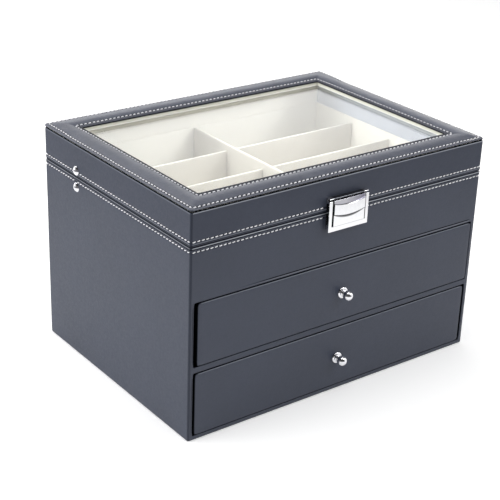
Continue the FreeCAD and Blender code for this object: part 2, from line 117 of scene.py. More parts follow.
class Nodes:
    def __init__(self, name):
        self.m = bpy.data.materials.new(name)
        self.m.use_nodes = True
        self.t = self.m.node_tree
        self.t.nodes.clear()
        self.out = self.t.nodes.new("ShaderNodeOutputMaterial")

    def add(self, kind, **kw):
        n = self.t.nodes.new("ShaderNode" + kind)
        for k, v in kw.items():
            setattr(n, k, v)
        return n

    def link(self, a, b):
        self.t.links.new(a, b)

    def principled(self):
        p = self.add("BsdfPrincipled")
        self.link(p.outputs[0], self.out.inputs["Surface"])
        return p

    def coords(self):
        return self.add("TexCoord").outputs["Object"]

    def noise(self, co, scale, detail=3.0, rough=0.5, distortion=0.0):
        n = self.add("TexNoise")
        self.link(co, n.inputs["Vector"])
        n.inputs["Scale"].default_value = scale
        n.inputs["Detail"].default_value = detail
        n.inputs["Roughness"].default_value = rough
        n.inputs["Distortion"].default_value = distortion
        return n.outputs[0]

    def voronoi(self, co, scale, feature="F1", rand=1.0):
        n = self.add("TexVoronoi", feature=feature)
        self.link(co, n.inputs["Vector"])
        n.inputs["Scale"].default_value = scale
        n.inputs["Randomness"].default_value = rand
        return n.outputs["Distance"]

    def range(self, src, a, b, c, d):
        n = self.add("MapRange")
        self.link(src, n.inputs["Value"])
        for k, v in zip(("From Min", "From Max", "To Min", "To Max"), (a, b, c, d)):
            n.inputs[k].default_value = v
        return n.outputs[0]

    def math(self, op, a, b=None):
        n = self.add("Math", operation=op)
        for i, v in enumerate((a, b)):
            if v is None:
                continue
            if isinstance(v, (int, float)):
                n.inputs[i].default_value = v
            else:
                self.link(v, n.inputs[i])
        return n.outputs[0]

    def mix(self, fac, a, b, blend="MIX"):
        n = self.add("Mix", data_type="RGBA", blend_type=blend)
        if isinstance(fac, (int, float)):
            n.inputs[0].default_value = fac
        else:
            self.link(fac, n.inputs[0])
        for i, v in ((6, a), (7, b)):
            if isinstance(v, tuple):
                n.inputs[i].default_value = v + (1.0,) if len(v) == 3 else v
            else:
                self.link(v, n.inputs[i])
        return n.outputs[2]

    def bump(self, height, strength, distance, normal=None):
        n = self.add("Bump")
        n.inputs["Strength"].default_value = strength
        n.inputs["Distance"].default_value = distance
        self.link(height, n.inputs["Height"])
        if normal is not None:
            self.link(normal, n.inputs["Normal"])
        return n.outputs[0]


def scaled(c, k):
    return tuple(min(1.0, v * k) for v in c)


def leather(name, colour, rough=0.45, grain=950.0, bump=0.35, wear=0.10, spec=0.5):
    """Fine-grained coated leather: pebble grain, pores, slow tone drift, painted shade in grooves, gaps, needle holes
    and corners (attribute above 0), painted highlight along ridges and edges (attribute below 0)."""
    n = Nodes(name)
    p = n.principled()
    co = n.coords()
    drift = n.noise(co, 14.0, 3.0, 0.55)
    mottle = n.noise(co, 95.0, 4.0, 0.6)
    fine = n.noise(co, 2600.0, 2.0, 0.5)
    cells = n.voronoi(co, grain, "F1", 0.85)
    edges = n.voronoi(co, grain, "DISTANCE_TO_EDGE", 0.85)
    pits = n.range(edges, 0.0, 0.16, 1.0, 0.0)
    c = n.mix(n.range(drift, 0.3, 0.7, 0.0, 1.0), scaled(colour, 0.94), scaled(colour, 1.06))
    c = n.mix(n.range(mottle, 0.35, 0.75, 0.0, wear), c, scaled(colour, 1.55))
    c = n.mix(n.range(pits, 0.0, 1.0, 0.0, 0.30), c, scaled(colour, 0.55))
    painted_light = n.add("Attribute", attribute_name="painted_light").outputs["Fac"]
    # painted highlight: paler where the attribute is below 0; painted shade: near black where it is above 0
    c = n.mix(n.range(painted_light, 0.0, -1.0, 0.0, 1.0), c, (0.30, 0.32, 0.36))
    c = n.mix(n.range(painted_light, 0.0, 1.0, 0.0, 1.0), c, (0.0015, 0.002, 0.003))
    n.link(c, p.inputs["Base Color"])
    n.link(n.range(painted_light, 0.0, 1.0, spec, 0.02), p.inputs["Specular IOR Level"])
    r = n.range(n.noise(co, 420.0, 3.0, 0.6), 0.3, 0.7, rough - 0.05, rough + 0.06)
    r = n.math("ADD", r, n.range(painted_light, 0.0, 1.0, 0.0, 0.35))
    n.link(r, p.inputs["Roughness"])
    b = n.bump(mottle, 0.25, 0.00035)
    b = n.bump(n.math("SUBTRACT", cells, n.math("MULTIPLY", pits, 0.5)), bump, 0.00012, b)
    b = n.bump(fine, 0.12, 0.00005, b)
    n.link(b, p.inputs["Normal"])
    p.inputs["IOR"].default_value = 1.5
    return n.m


def velvet(name, colour, shade=0.90, tint=(1.0, 0.96, 0.88), sheen=0.35):
    """Short-pile velvet: brushed patches, fine pile, soft sheen."""
    n = Nodes(name)
    p = n.principled()
    co = n.coords()
    brushed = n.noise(co, 34.0, 3.0, 0.55, 0.6)
    pile = n.noise(co, 3400.0, 2.0, 0.7)
    tuft = n.noise(co, 900.0, 3.0, 0.65)
    c = n.mix(n.range(brushed, 0.3, 0.7, 0.0, 1.0), scaled(colour, shade), scaled(colour, 1.02))
    c = n.mix(n.range(pile, 0.35, 0.7, 0.0, 0.16), c, scaled(colour, 0.62))
    painted_light = n.add("Attribute", attribute_name="painted_light").outputs["Fac"]
    # painted shade: darker where the attribute is above 0
    c = n.mix(n.range(painted_light, 0.0, 1.0, 0.0, 1.0), c, scaled(colour, 0.30))
    n.link(c, p.inputs["Base Color"])
    n.link(n.range(tuft, 0.3, 0.7, 0.82, 0.97), p.inputs["Roughness"])
    b = n.bump(tuft, 0.35, 0.00025)
    b = n.bump(pile, 0.5, 0.00015, b)
    n.link(b, p.inputs["Normal"])
    p.inputs["Sheen Weight"].default_value = sheen
    p.inputs["Sheen Roughness"].default_value = 0.45
    p.inputs["Sheen Tint"].default_value = tint + (1.0,)
    p.inputs["Specular IOR Level"].default_value = 0.12
    return n.m


def metal(name, colour, rough, brushed=0.0, spots=0.0, paint=None):
    """Plated metal: slight unevenness of the stamping, fine scratches, faint dulling."""
    n = Nodes(name)
    p = n.principled()
    co = n.coords()
    haze = n.noise(co, 260.0, 4.0, 0.6)
    stretch = n.add("Mapping")
    stretch.inputs["Scale"].default_value = (1.0, 9.0, 9.0)
    n.link(co, stretch.inputs["Vector"])
    scratch = n.noise(stretch.outputs[0], 700.0, 5.0, 0.75)
    c = n.mix(n.range(haze, 0.35, 0.7, 0.0, 1.0), scaled(colour, 0.93), colour)
    if spots:
        c = n.mix(n.range(n.noise(co, 120.0, 5.0, 0.7), 0.5, 0.8, 0.0, spots), c, scaled(colour, 0.45))
    # painted shade: recesses and crevices darkened nearly to black by ambient occlusion
    ao = n.add("AmbientOcclusion", samples=8)
    ao.inputs["Distance"].default_value = 0.0022
    c = n.mix(n.range(ao.outputs["AO"], 0.35, 0.92, 0.80, 0.0), c, (0.02, 0.02, 0.024))
    if paint is not None:
        c = paint(n, co, c)
    n.link(c, p.inputs["Base Color"])
    n.link(n.range(haze, 0.3, 0.7, max(0.02, rough - 0.03), rough + 0.05), p.inputs["Roughness"])
    b = n.bump(n.noise(co, 120.0, 2.0, 0.4), 0.10, 0.0004)
    b = n.bump(scratch, 0.04 + brushed, 0.00006, b)
    n.link(b, p.inputs["Normal"])
    p.inputs["Metallic"].default_value = 1.0
    return n.m


def clasp_shading(n, co, c):
    """Painted reflection: a dark lilac-grey band above the upper arc of the flap's face. Painted shade: a dark crescent
    under its lower arc.
    """
    q = n.add("SeparateXYZ")
    n.link(co, q.inputs[0])
    t = n.math("MULTIPLY", n.math("ADD", q.outputs[0], 0.002), 1 / 0.0183)
    t2 = n.math("MINIMUM", n.math("MULTIPLY", t, t), 1.0)
    inside = n.range(n.math("ABSOLUTE", t), 0.97, 1.0, 1.0, 0.0)
    low = n.math("ADD", n.math("MULTIPLY", t2, 0.0027), 0.1849)
    thick = n.math("ADD", n.math("MULTIPLY", n.math("SUBTRACT", 1.0, t2), 0.0018), 0.0008)
    d = n.math("DIVIDE", n.math("SUBTRACT", low, q.outputs[2]), thick)
    crescent_shade = n.math("MULTIPLY", n.range(d, 0.65, 1.15, 1.0, 0.0), n.range(d, -0.06, 0.0, 0.0, 1.0))
    c = n.mix(n.math("MULTIPLY", n.math("MULTIPLY", crescent_shade, inside), 0.9), c, (0.02, 0.02, 0.024))
    high = n.math("ADD", n.math("MULTIPLY", t2, 0.0025), 0.1951)
    up = n.math("SUBTRACT", q.outputs[2], high)
    painted_reflection = n.math("MULTIPLY", n.range(up, -0.0002, 0.0003, 0.0, 1.0), inside)
    painted_reflection = n.math("MULTIPLY", painted_reflection, n.range(t, -0.2, 0.9, 0.55, 0.92))
    c = n.mix(painted_reflection, c, (0.13, 0.125, 0.17))
    # painted shade in the deep groove at the left of the face and along the face's foot
    groove = n.math("MULTIPLY", n.range(q.outputs[0], -0.0217, -0.0216, 0.0, 1.0), n.range(q.outputs[0], -0.0197, -0.0196, 1.0, 0.0))
    groove = n.math("MULTIPLY", groove, n.range(q.outputs[2], 0.1755, 0.1757, 0.0, 1.0))
    foot = n.range(n.math("ABSOLUTE", n.math("SUBTRACT", q.outputs[2], 0.1758)), 0.0001, 0.0003, 0.45, 0.0)
    c = n.mix(n.math("MULTIPLY", foot, inside), c, (0.10, 0.10, 0.11))
    return n.mix(n.math("MULTIPLY", groove, 0.93), c, (0.02, 0.02, 0.024))


def bracket_shading(n, co, c):
    """Painted reflection: a dark grey top on the bracket, bright at its two ends."""
    q = n.add("SeparateXYZ")
    n.link(co, q.inputs[0])
    t = n.math("ABSOLUTE", n.math("ADD", q.outputs[0], 0.002))
    painted_reflection = n.math("MULTIPLY", n.range(t, 0.0172, 0.0192, 0.94, 0.0), n.range(q.outputs[2], 0.2018, 0.2021, 0.0, 1.0))
    return n.mix(painted_reflection, c, (0.085, 0.09, 0.105))


def thread(name, colour):
    n = Nodes(name)
    p = n.principled()
    co = n.coords()
    c = n.mix(n.range(n.noise(co, 1500.0, 3.0, 0.6), 0.3, 0.75, 0.0, 1.0), colour, scaled(colour, 0.72))
    c = n.mix(n.range(n.noise(co, 60.0, 3.0, 0.6), 0.45, 0.8, 0.0, 0.5), c, scaled(colour, 0.6))
    n.link(c, p.inputs["Base Color"])
    n.link(n.range(n.noise(co, 2500.0, 2.0, 0.5), 0.3, 0.7, 0.45, 0.7), p.inputs["Roughness"])
    n.link(n.bump(n.noise(co, 4200.0, 2.0, 0.6), 0.4, 0.0001), p.inputs["Normal"])
    p.inputs["Sheen Weight"].default_value = 0.2
    return n.m


def fibre(name, colour, rough=0.8, contrast=0.25, scale=700.0):
    """Paper-covered board: pressed fibres and flecks."""
    n = Nodes(name)
    p = n.principled()
    co = n.coords()
    stretch = n.add("Mapping")
    stretch.inputs["Scale"].default_value = (1.0, 0.35, 1.6)
    stretch.inputs["Rotation"].default_value = (0.2, 0.4, 0.9)
    n.link(co, stretch.inputs["Vector"])
    f = n.noise(stretch.outputs[0], scale, 6.0, 0.7, 0.5)
    c = n.mix(n.range(f, 0.3, 0.7, 0.0, 1.0), scaled(colour, 1 - contrast), scaled(colour, 1 + contrast))
    c = n.mix(n.range(n.noise(co, 1400.0, 2.0, 0.5), 0.68, 0.78, 0.0, 0.5), c, scaled(colour, 0.5))
    n.link(c, p.inputs["Base Color"])
    n.link(n.range(f, 0.3, 0.7, rough - 0.08, min(1.0, rough + 0.1)), p.inputs["Roughness"])
    n.link(n.bump(f, 0.3, 0.0002), p.inputs["Normal"])
    p.inputs["Specular IOR Level"].default_value = 0.3
    return n.m


def glass(name):
    """Clear float glass with the faintest smears; light passes to the tray."""
    n = Nodes(name)
    p = n.add("BsdfPrincipled")
    co = n.coords()
    n.link(n.range(n.noise(co, 22.0, 5.0, 0.6), 0.45, 0.85, 0.0, 0.006), p.inputs["Roughness"])
    n.link(n.bump(n.noise(co, 9.0, 1.0, 0.4), 0.03, 0.0003), p.inputs["Normal"])
    p.inputs["Base Color"].default_value = (0.985, 0.995, 0.985, 1)
    p.inputs["Transmission Weight"].default_value = 1.0
    p.inputs["IOR"].default_value = 1.46
    t = n.add("BsdfTransparent")
    t.inputs["Color"].default_value = (0.96, 0.97, 0.96, 1)
    mx = n.add("MixShader")
    lp = n.add("LightPath")
    n.link(lp.outputs["Is Shadow Ray"], mx.inputs[0])
    n.link(p.outputs[0], mx.inputs[1])
    n.link(t.outputs[0], mx.inputs[2])
    n.link(mx.outputs[0], n.out.inputs["Surface"])
    return n.m


LEATHER_BASE = (0.030, 0.037, 0.060)
M_WALL = leather("slate_leather", LEATHER_BASE, rough=0.47, spec=0.44)
# the lid's walls use a darker copy of the case's leather: painted shade
M_LID_SHADED = leather("slate_leather_lid_shaded", scaled(LEATHER_BASE, 0.94), rough=0.50, spec=0.38)
M_PAD = leather("slate_leather_padded", (0.038, 0.044, 0.067), rough=0.40, grain=600.0, bump=1.2, wear=0.36, spec=0.8)
M_VELVET = velvet("cream_velvet", (0.96, 0.935, 0.872), shade=0.965)
# darker copies of the cream velvet: painted shade on the dividers' faces and the tray floor, less on the dividers' tops
M_VELVET_SHADED = velvet("cream_velvet_shaded", (0.655, 0.62, 0.56), shade=0.95)
M_VELVET_TOPS_SHADED = velvet("cream_velvet_divider_tops_shaded", (0.82, 0.79, 0.725), shade=0.95)
# the lid's left and right inner walls get a darker grey-blue velvet than the rest of the lining
M_SIDE = velvet("grey_blue_velvet", (0.50, 0.545, 0.66), shade=0.95, tint=(0.9, 0.93, 1.0))
M_RING = velvet("cream_edge_band", (0.76, 0.76, 0.67), shade=0.95, sheen=0.2)
M_GLUE = velvet("pale_glue_line", (0.82, 0.82, 0.78), shade=0.97, sheen=0.1)
M_CHROME = metal("bright_chrome", (0.81, 0.81, 0.84), 0.07)
M_BRACKET = metal("bright_chrome_bracket", (0.81, 0.81, 0.84), 0.12, paint=bracket_shading)
M_CLASP = metal("bright_chrome_clasp", (0.78, 0.78, 0.80), 0.07, paint=clasp_shading)
M_STEEL = metal("zinc_steel", (0.62, 0.63, 0.64), 0.30, brushed=0.25, spots=0.35)
M_THREAD = thread("pale_thread", (0.94, 0.94, 0.97))
M_BAY = fibre("charcoal_lining_paper", (0.016, 0.017, 0.021), 0.82, 0.3)
M_BOARD = fibre("grey_board", (0.20, 0.19, 0.18), 0.85, 0.2, 500.0)
M_FELT = fibre("charcoal_felt", (0.022, 0.023, 0.027), 0.95, 0.35, 900.0)
M_GLASS = glass("clear_glass")
M_STAY = leather("stay_strap_leather", (0.030, 0.032, 0.040), rough=0.55)

# ---------------------------------------------------------------------------
# Rings swept round the case
# ---------------------------------------------------------------------------


def fractions(values, half):
    return [(v + half) / (2 * half) for v in sorted(values)]


def even(half, step):
    n = max(2, int(round(2 * half / step)))
    return list(np.linspace(-half, half, n + 1))


def side_inset(u):
    """The lid frame's left and right rails are narrower between the inner row and the window than the other two."""
    return u if u <= 21.3 else 21.3 + (u - 21.3) * 0.672


def rounded_ring(inset, r, fx, fy, nc):
    """Points, outward normals, side index and place along the side of one ring, anticlockwise from the front left."""
    hx, hy = HX - side_inset(inset), HY - inset
    ax, ay = hx - r, hy - r
    P, N, S, T = [], [], [], []

    def side(k, pts, nrm, place):
        for q, t in zip(pts, place):
            P.append(q); N.append(nrm); S.append(k); T.append(t)

    def corner(k, cx, cy, a0):
        for i in range(1, nc):
            a = a0 + math.pi / 2 * i / nc
            P.append((cx + r * math.cos(a), cy + r * math.sin(a)))
            N.append((math.cos(a), math.sin(a))); S.append(k); T.append(0.0)

    xs = [-ax + 2 * ax * f for f in fx]
    ys = [-ay + 2 * ay * f for f in fy]
    side(0, [(x, -hy) for x in xs], (0, -1), xs)
    corner(4, ax, -ay, -math.pi / 2)
    side(1, [(hx, y) for y in ys], (1, 0), ys)
    corner(5, ax, ay, 0.0)
    side(2, [(-x, hy) for x in xs], (0, 1), [-x for x in xs])
    corner(6, -ax, ay, math.pi / 2)
    side(3, [(-hx, -y) for y in ys], (-1, 0), [-y for y in ys])
    corner(7, -ax, -ay, math.pi)
    return np.array(P), np.array(N, float), np.array(S), np.array(T)


def sweep(levels, fx, fy, nc, push=None, skip=None, corner=0.0, paint=None):
    """levels: (inset, z, corner radius, painted light) from the underside outwards and up, the last painted shade above
    0 and painted highlight below 0; corner adds painted shade down the middle of the rounded corners. Returns verts,
    faces, painted light, index.
    """
    rings = [rounded_ring(l[0], l[2], fx, fy, nc) for l in levels]
    n = len(rings[0][0])
    prof = np.array([(-l[0], l[1]) for l in levels], float)
    tan = np.gradient(prof, axis=0)
    tan /= np.maximum(np.linalg.norm(tan, axis=1, keepdims=True), 1e-9)
    verts, painted_light = [], []
    for k, (l, (P, N, S, T)) in enumerate(zip(levels, rings)):
        co = np.column_stack([P, np.full(n, l[1])])
        nrm = np.column_stack([N * tan[k, 1], np.full(n, -tan[k, 0])])
        if push is not None:
            co = co + nrm * push(co, N, S, T, l)[:, None]
        verts.append(co)
        # painted shade down the middle of each rounded corner
        mid = np.abs(np.abs(N[:, 0]) - np.abs(N[:, 1])) < 0.75
        base = np.where(S >= 4, max(l[3], 0.0), l[3])
        row = np.maximum(base, np.where(S >= 4, corner * mid, -1.0))
        painted_light.append(row if paint is None else paint(row, co, S, T, l))
    faces = []
    for k in range(len(levels) - 1):
        for i in range(n):
            j = (i + 1) % n
            if skip is not None and skip(k, i, rings, levels):
                continue
            faces.append((k * n + i, k * n + j, (k + 1) * n + j, (k + 1) * n + i))
    return np.vstack(verts), faces, np.concatenate(painted_light), n


def arc_levels(o0, z0, o1, z1, bulge, n, r, painted_light=0.0):
    """Levels along an arc from (o0, z0) to (o1, z1); bulge is (inset, z) of the corner it rounds."""
    out = []
    for i in range(n + 1):
        t = i / n
        a = ((1 - t) ** 2, 2 * t * (1 - t), t ** 2)
        out.append((a[0] * o0 + a[1] * bulge[0] + a[2] * o1, a[0] * z0 + a[1] * bulge[1] + a[2] * z1, r, painted_light))
    return out


def stations(half, n):
    """Centres of n stitches along a straight of half length half."""
    step = 2 * half / n
    return [-half + step * (i + 0.5) for i in range(n)], step


def row_count(inset, r):
    ax, ay = HX - inset - r, HY - inset - r
    return (max(1, int(round(2 * ax / STITCH_PITCH))), max(1, int(round(2 * ay / STITCH_PITCH))), ax, ay)


def pucker(S, T, inset, r):
    """0 at a stitch's middle, 1 at the holes between stitches."""
    nx, ny, ax, ay = row_count(inset, r)
    out = np.zeros(len(S))
    for k in range(4):
        m = S == k
        half, n = (ax, nx) if k in (0, 2) else (ay, ny)
        step = 2 * half / n
        out[m] = 0.5 + 0.5 * np.cos(2 * math.pi * (T[m] + half) / step)
    return out


# ---------------------------------------------------------------------------
# Leather round the case, with the two drawer openings
# ---------------------------------------------------------------------------
EDGE = 0.7                                   # rounding of the leather round a drawer opening
ROW_R = 1.0                                  # the rows on the walls stop this far from the corners
OPENINGS = ((4.0, 68.0), (73.5, 136.5))
OX = IX


def case_levels():
    r = CORNER_R
    # fourth value of each level: painted shade above 0 in the turn under the base, the grooves under the rim and the
    # gap under the lid; painted highlight below 0 along the rim's ridge
    lv = [(13.0, 0.75, r, 0.6), (12.6, 0.25, r, 0.3), (12.0, 0.05, r, 0.0), (7.0, 0.0, r, 0.0), (1.6, 0.0, r, 0.0),
          (0.75, 0.12, r, 0.0), (0.22, 0.45, r, 0.0), (0.0, 1.1, r, 0.0)]
    zs = [2.0, OPENINGS[0][0] - EDGE - 0.3, OPENINGS[0][0] - EDGE]
    lo, hi = OPENINGS[0][0] - EDGE, OPENINGS[0][1] + EDGE
    zs += list(np.linspace(lo, hi, 12))[1:]
    zs += [hi + 0.25, hi + 0.9, OPENINGS[1][0] - EDGE - 0.9, OPENINGS[1][0] - EDGE - 0.25, OPENINGS[1][0] - EDGE]
    lo, hi = OPENINGS[1][0] - EDGE, OPENINGS[1][1] + EDGE
    zs += list(np.linspace(lo, hi, 12))[1:]
    zs += [hi + 0.25, 137.8, 138.15, 138.45, 138.65, 138.85, 139.05, 139.25, 139.45, 139.65, 139.9, 140.3, 140.9] + list(np.linspace(142.0, 181.2, 9))
    lv += [(0.0, z, r, 0.0) for z in zs]
    lv += [(0.0, 182.2, r, 0.0), (0.03, 183.0, r, 0.0), (0.12, 183.6, r, 0.1), (0.30, 184.1, r, 0.3), (0.36, 184.5, r, 0.35),
           (0.30, 184.9, r, 0.3), (0.10, 185.35, r, 0.15), (-0.05, 185.8, r, 0.0), (-0.10, 186.3, r, 0.0), (-0.06, 186.75, r, 0.35),
           (0.10, 187.0, r, 0.85), (0.30, 187.15, r, 1.0), (0.36, 187.27, r, 1.0), (0.26, 187.38, r, 0.8), (0.02, 187.52, r, -0.2),
           (-0.18, 187.78, r, -0.8), (-0.25, 188.02, r, -1.0), (-0.15, 188.26, r, -1.0), (0.12, 188.44, r, -0.8), (0.55, 188.5, r, 0.3),
           (1.2, 188.5, r, 0.8), (2.4, 188.48, r, 1.0), (3.4, 188.4, r, 1.0), (4.0, 188.25, r, 1.0), (4.25, 187.9, r, 1.0),
           (4.3, 187.2, r, 1.0)]
    return lv


fx_case = fractions([-HX + CORNER_R, -OX - EDGE] + even(OX + EDGE, 1.3)[1:-1] + [OX + EDGE, HX - CORNER_R], HX - CORNER_R)
fy_case = fractions(even(HY - CORNER_R, 1.3), HY - CORNER_R)


def seam_over_drawer(S, T, z):
    """Strength of the folded seam above the upper drawer, which fades out towards the left."""
    return (S == 0) * smooth((T + 125.0) / 60.0) * smooth((163.5 - T) / 4.0)


def case_push(co, N, S, T, l):
    flat = 1.0 if 1.5 < l[1] < 181 else 0.35 if 0.9 < l[1] <= 187 else 0.0
    d = 0.05 * sines(co, 70.0, 11) * flat
    d += 0.018 * sines(co, 16.0, 12) * flat
    # the covering is pulled down by each stitch of the row near the top edge
    g = math.exp(-((l[1] - 184.5) / 1.1) ** 2)
    if g > 0.02:
        d -= 0.14 * g * pucker(S, T, 0.0, ROW_R)
    if 185.2 < l[1] < 187 or 187.7 < l[1] < 188.4 and l[0] < 0.2:
        d += 0.06 * sines(co, 4.0, 13)
    on_edge = np.zeros(len(S), bool)
    for a, b in OPENINGS:
        if a - EDGE - 0.31 <= l[1] <= b + EDGE + 0.31:
            on_edge |= (S == 0)
    d[on_edge] = 0.0
    if 138 < l[1] < 141:
        d += seam_over_drawer(S, T, l[1]) * (0.16 * math.exp(-((l[1] - 138.2) / 0.40) ** 2) - 0.45 * math.exp(-((l[1] - 139.2) / 0.36) ** 2))
    return d


def case_paint(row, co, S, T, l):
    z = l[1]
    # less painted highlight on the rim's ridge along the left side
    if l[3] < 0 and z > 187:
        row = row * np.where(S == 3, 0.45, 1.0)
    # painted shade in the needle holes of the rim's row
    if 183 < z < 186:
        row = np.maximum(row, 0.95 * pucker(S, T, 0.0, ROW_R) ** 3 * math.exp(-((z - 184.5) / 0.65) ** 2))
    # painted shade in the seam's groove above the upper drawer and painted highlight on the fold under it
    if 137.3 < z < 141:
        k = seam_over_drawer(S, T, z)
        row = row + k * (1.15 * math.exp(-((z - 139.25) / 0.50) ** 4) - 0.40 * math.exp(-((z - 138.2) / 0.4) ** 2))
    return row


def case_skip(k, i, rings, levels):
    P, N, S, T = rings[k]
    j = (i + 1) % len(P)
    if S[i] != 0 or S[j] != 0:
        return False
    z = (levels[k][1] + levels[k + 1][1]) / 2
    x = (P[i][0] + P[j][0]) / 2
    if levels[k][0] > 1.0 or abs(x) > OX + EDGE:
        return False
    return any(a - EDGE < z < b + EDGE for a, b in OPENINGS)


levels = case_levels()
verts, faces, painted_light, n_ring = sweep(levels, fx_case, fy_case, 6, case_push, case_skip, 0.26, case_paint)
verts, painted_light = [tuple(v) for v in verts], list(painted_light)
front_cols = [i for i in range(len(fx_case)) if 1 <= i <= len(fx_case) - 2]


def opening(a, b):
    """Round the leather into a drawer opening, along the boundary that the sweep left."""
    rows = [k for k, l in enumerate(levels) if l[0] < 0.05 and a - EDGE - 0.01 <= l[1] <= b + EDGE + 0.01]
    loop = [rows[0] * n_ring + c for c in front_cols]
    loop += [k * n_ring + front_cols[-1] for k in rows[1:]]
    loop += [rows[-1] * n_ring + c for c in reversed(front_cols[:-1])]
    loop += [k * n_ring + front_cols[0] for k in reversed(rows[1:-1])]
    base = np.array([verts[v] for v in loop])
    x0, x1, z0, z1 = -OX - EDGE, OX + EDGE, a - EDGE, b + EDGE
    # each loop point's place as a fraction of the opening, so that every deeper loop follows it
    fxv = (base[:, 0] - x0) / (x1 - x0)
    fzv = (base[:, 2] - z0) / (z1 - z0)

    def place(grow, y, rc):
        X0, X1, Z0, Z1 = -OX - grow, OX + grow, a - grow, b + grow
        q = np.column_stack([X0 + (X1 - X0) * fxv, np.full(len(fxv), y), Z0 + (Z1 - Z0) * fzv])
        for cx, cz, sx, sz in ((X0 + rc, Z0 + rc, -1, -1), (X1 - rc, Z0 + rc, 1, -1), (X1 - rc, Z1 - rc, 1, 1), (X0 + rc, Z1 - rc, -1, 1)):
            dx, dz = (q[:, 0] - cx) * sx, (q[:, 2] - cz) * sz
            m = (dx > 0) & (dz > 0)
            if m.any():
                ln = np.hypot(dx[m], dz[m])
                q[m, 0] = cx + sx * dx[m] / ln * rc
                q[m, 2] = cz + sz * dz[m] / ln * rc
        return q

    for v, q in zip(loop, place(EDGE, -HY, 2.2)):
        verts[v] = tuple(q)
    prev = loop
    steps = [(EDGE * (1 - math.sin(t)), -HY + EDGE * (1 - math.cos(t)), 2.2 - 0.5 * t) for t in np.linspace(0, math.pi / 2, 6)[1:]]
    steps += [(-0.05, -HY + 1.2, 1.4), (-0.05, -HY + 2.0, 1.4), (-0.05, -HY + 5.0, 1.4), (-0.05, -HY + 12.5, 1.4), (0.3, -HY + 13.0, 1.4)]
    # each deeper loop is darker, to near black: painted shade inside the opening
    for g, y, rc in steps:
        start = len(verts)
        for q in place(g, y, rc):
            verts.append(tuple(q)); painted_light.append(min(1.0, max(0.0, (y + HY - 0.25) / 0.9)))
        new = list(range(start, start + len(loop)))
        for i in range(len(loop)):
            j = (i + 1) % len(loop)
            # the loop runs anticlockwise seen from the front, so the inner wall faces the opening
            faces.append((prev[i], new[i], new[j], prev[j]))
        prev = new


for a, b in OPENINGS:
    opening(a, b)
used = sorted(set(i for f in faces for i in f))
remap = {v: i for i, v in enumerate(used)}
verts = [verts[v] for v in used]
painted_light = [painted_light[v] for v in used]
faces = [tuple(remap[i] for i in f) for f in faces]
case_cover = add_mesh("case_cover", verts, faces, M_WALL, "case", ["case_leather"], painted_light)

# ---------------------------------------------------------------------------
# Leather round the lid's walls
# ---------------------------------------------------------------------------
fx_lid = fractions(even(HX - CORNER_R, 1.25), HX - CORNER_R)
fy_lid = fractions(even(HY - CORNER_R, 1.25), HY - CORNER_R)
r = CORNER_R
# fourth value of each level: painted shade above 0 in the gap over the case, the groove and the row's channel; painted
# highlight below 0 along the ridge above the groove and along the top edge
levels = [(4.35, 190.6, r, 1.0), (4.3, 189.9, r, 1.0), (4.0, 189.45, r, 1.0), (3.2, 189.32, r, 1.0), (1.6, 189.3, r, 0.9), (0.9, 189.32, r, 0.6),
          (0.42, 189.45, r, 0.85), (0.2, 189.7, r, 0.55), (0.12, 190.0, r, 0.15), (0.08, 190.35, r, 0.0), (0.12, 190.58, r, 0.15),
          (0.32, 190.76, r, 0.8), (0.38, 190.88, r, 1.0), (0.28, 191.0, r, 0.6), (0.0, 191.22, r, 0.0), (-0.20, 191.55, r, -0.15),
          (-0.25, 191.95, r, -0.4), (-0.14, 192.4, r, -0.15), (0.0, 192.85, r, 0.0), (0.12, 193.2, r, 0.15), (0.32, 193.6, r, 0.35),
          (0.40, 194.0, r, 0.40), (0.32, 194.4, r, 0.3), (0.10, 194.85, r, 0.1), (0.02, 195.4, r, 0.0), (0.0, 196.2, r, 0.0)]
levels += [(0.0, z, r, 0.0) for z in np.linspace(199.0, 218.3, 8)]
levels += [(0.0, 219.3, r, 0.0), (0.0, 219.5, r, -0.3), (0.03, 219.8, r, -0.8), (0.12, 220.1, r, -0.9), (0.26, 220.32, r, 0.0), (0.5, 220.56, 1.5, 1.0),
           (0.66, 220.72, 1.25, 1.0), (0.79, 220.9, 1.1, 1.0), (0.79, 221.38, 1.1, 1.0)]


def lid_push(co, N, S, T, l):
    flat = 1.0 if 196 < l[1] < 219 else 0.3
    if l[0] > 0.9 or l[1] > 220.7:
        return np.zeros(len(S))
    d = 0.05 * sines(co, 60.0, 21) * flat + 0.015 * sines(co, 14.0, 22) * flat
    g = math.exp(-((l[1] - 194.0) / 1.2) ** 2)
    if g > 0.02:
        d -= 0.16 * g * pucker(S, T, 0.0, ROW_R)
    if 191.2 < l[1] < 193:
        d += 0.06 * sines(co, 3.6, 23)
    return d


def lid_paint(row, co, S, T, l):
    # less painted highlight on the top edge along the left side and its corners
    if l[1] > 219.5 and l[3] < 0:
        row = row * np.where((S == 3) | (S == 7), 0.25, 1.0)
    # painted shade in the needle holes of the lid's row
    if 192.8 < l[1] < 195.2:
        row = np.maximum(row, 0.95 * pucker(S, T, 0.0, ROW_R) ** 3 * math.exp(-((l[1] - 194.0) / 0.65) ** 2))
    return row


verts, faces, painted_light, n_ring = sweep(levels, fx_lid, fy_lid, 6, lid_push, None, 0.26, lid_paint)
lid_cover = add_mesh("lid_cover", verts, faces, M_LID_SHADED, "lid", ["lid_side_leather"], painted_light)

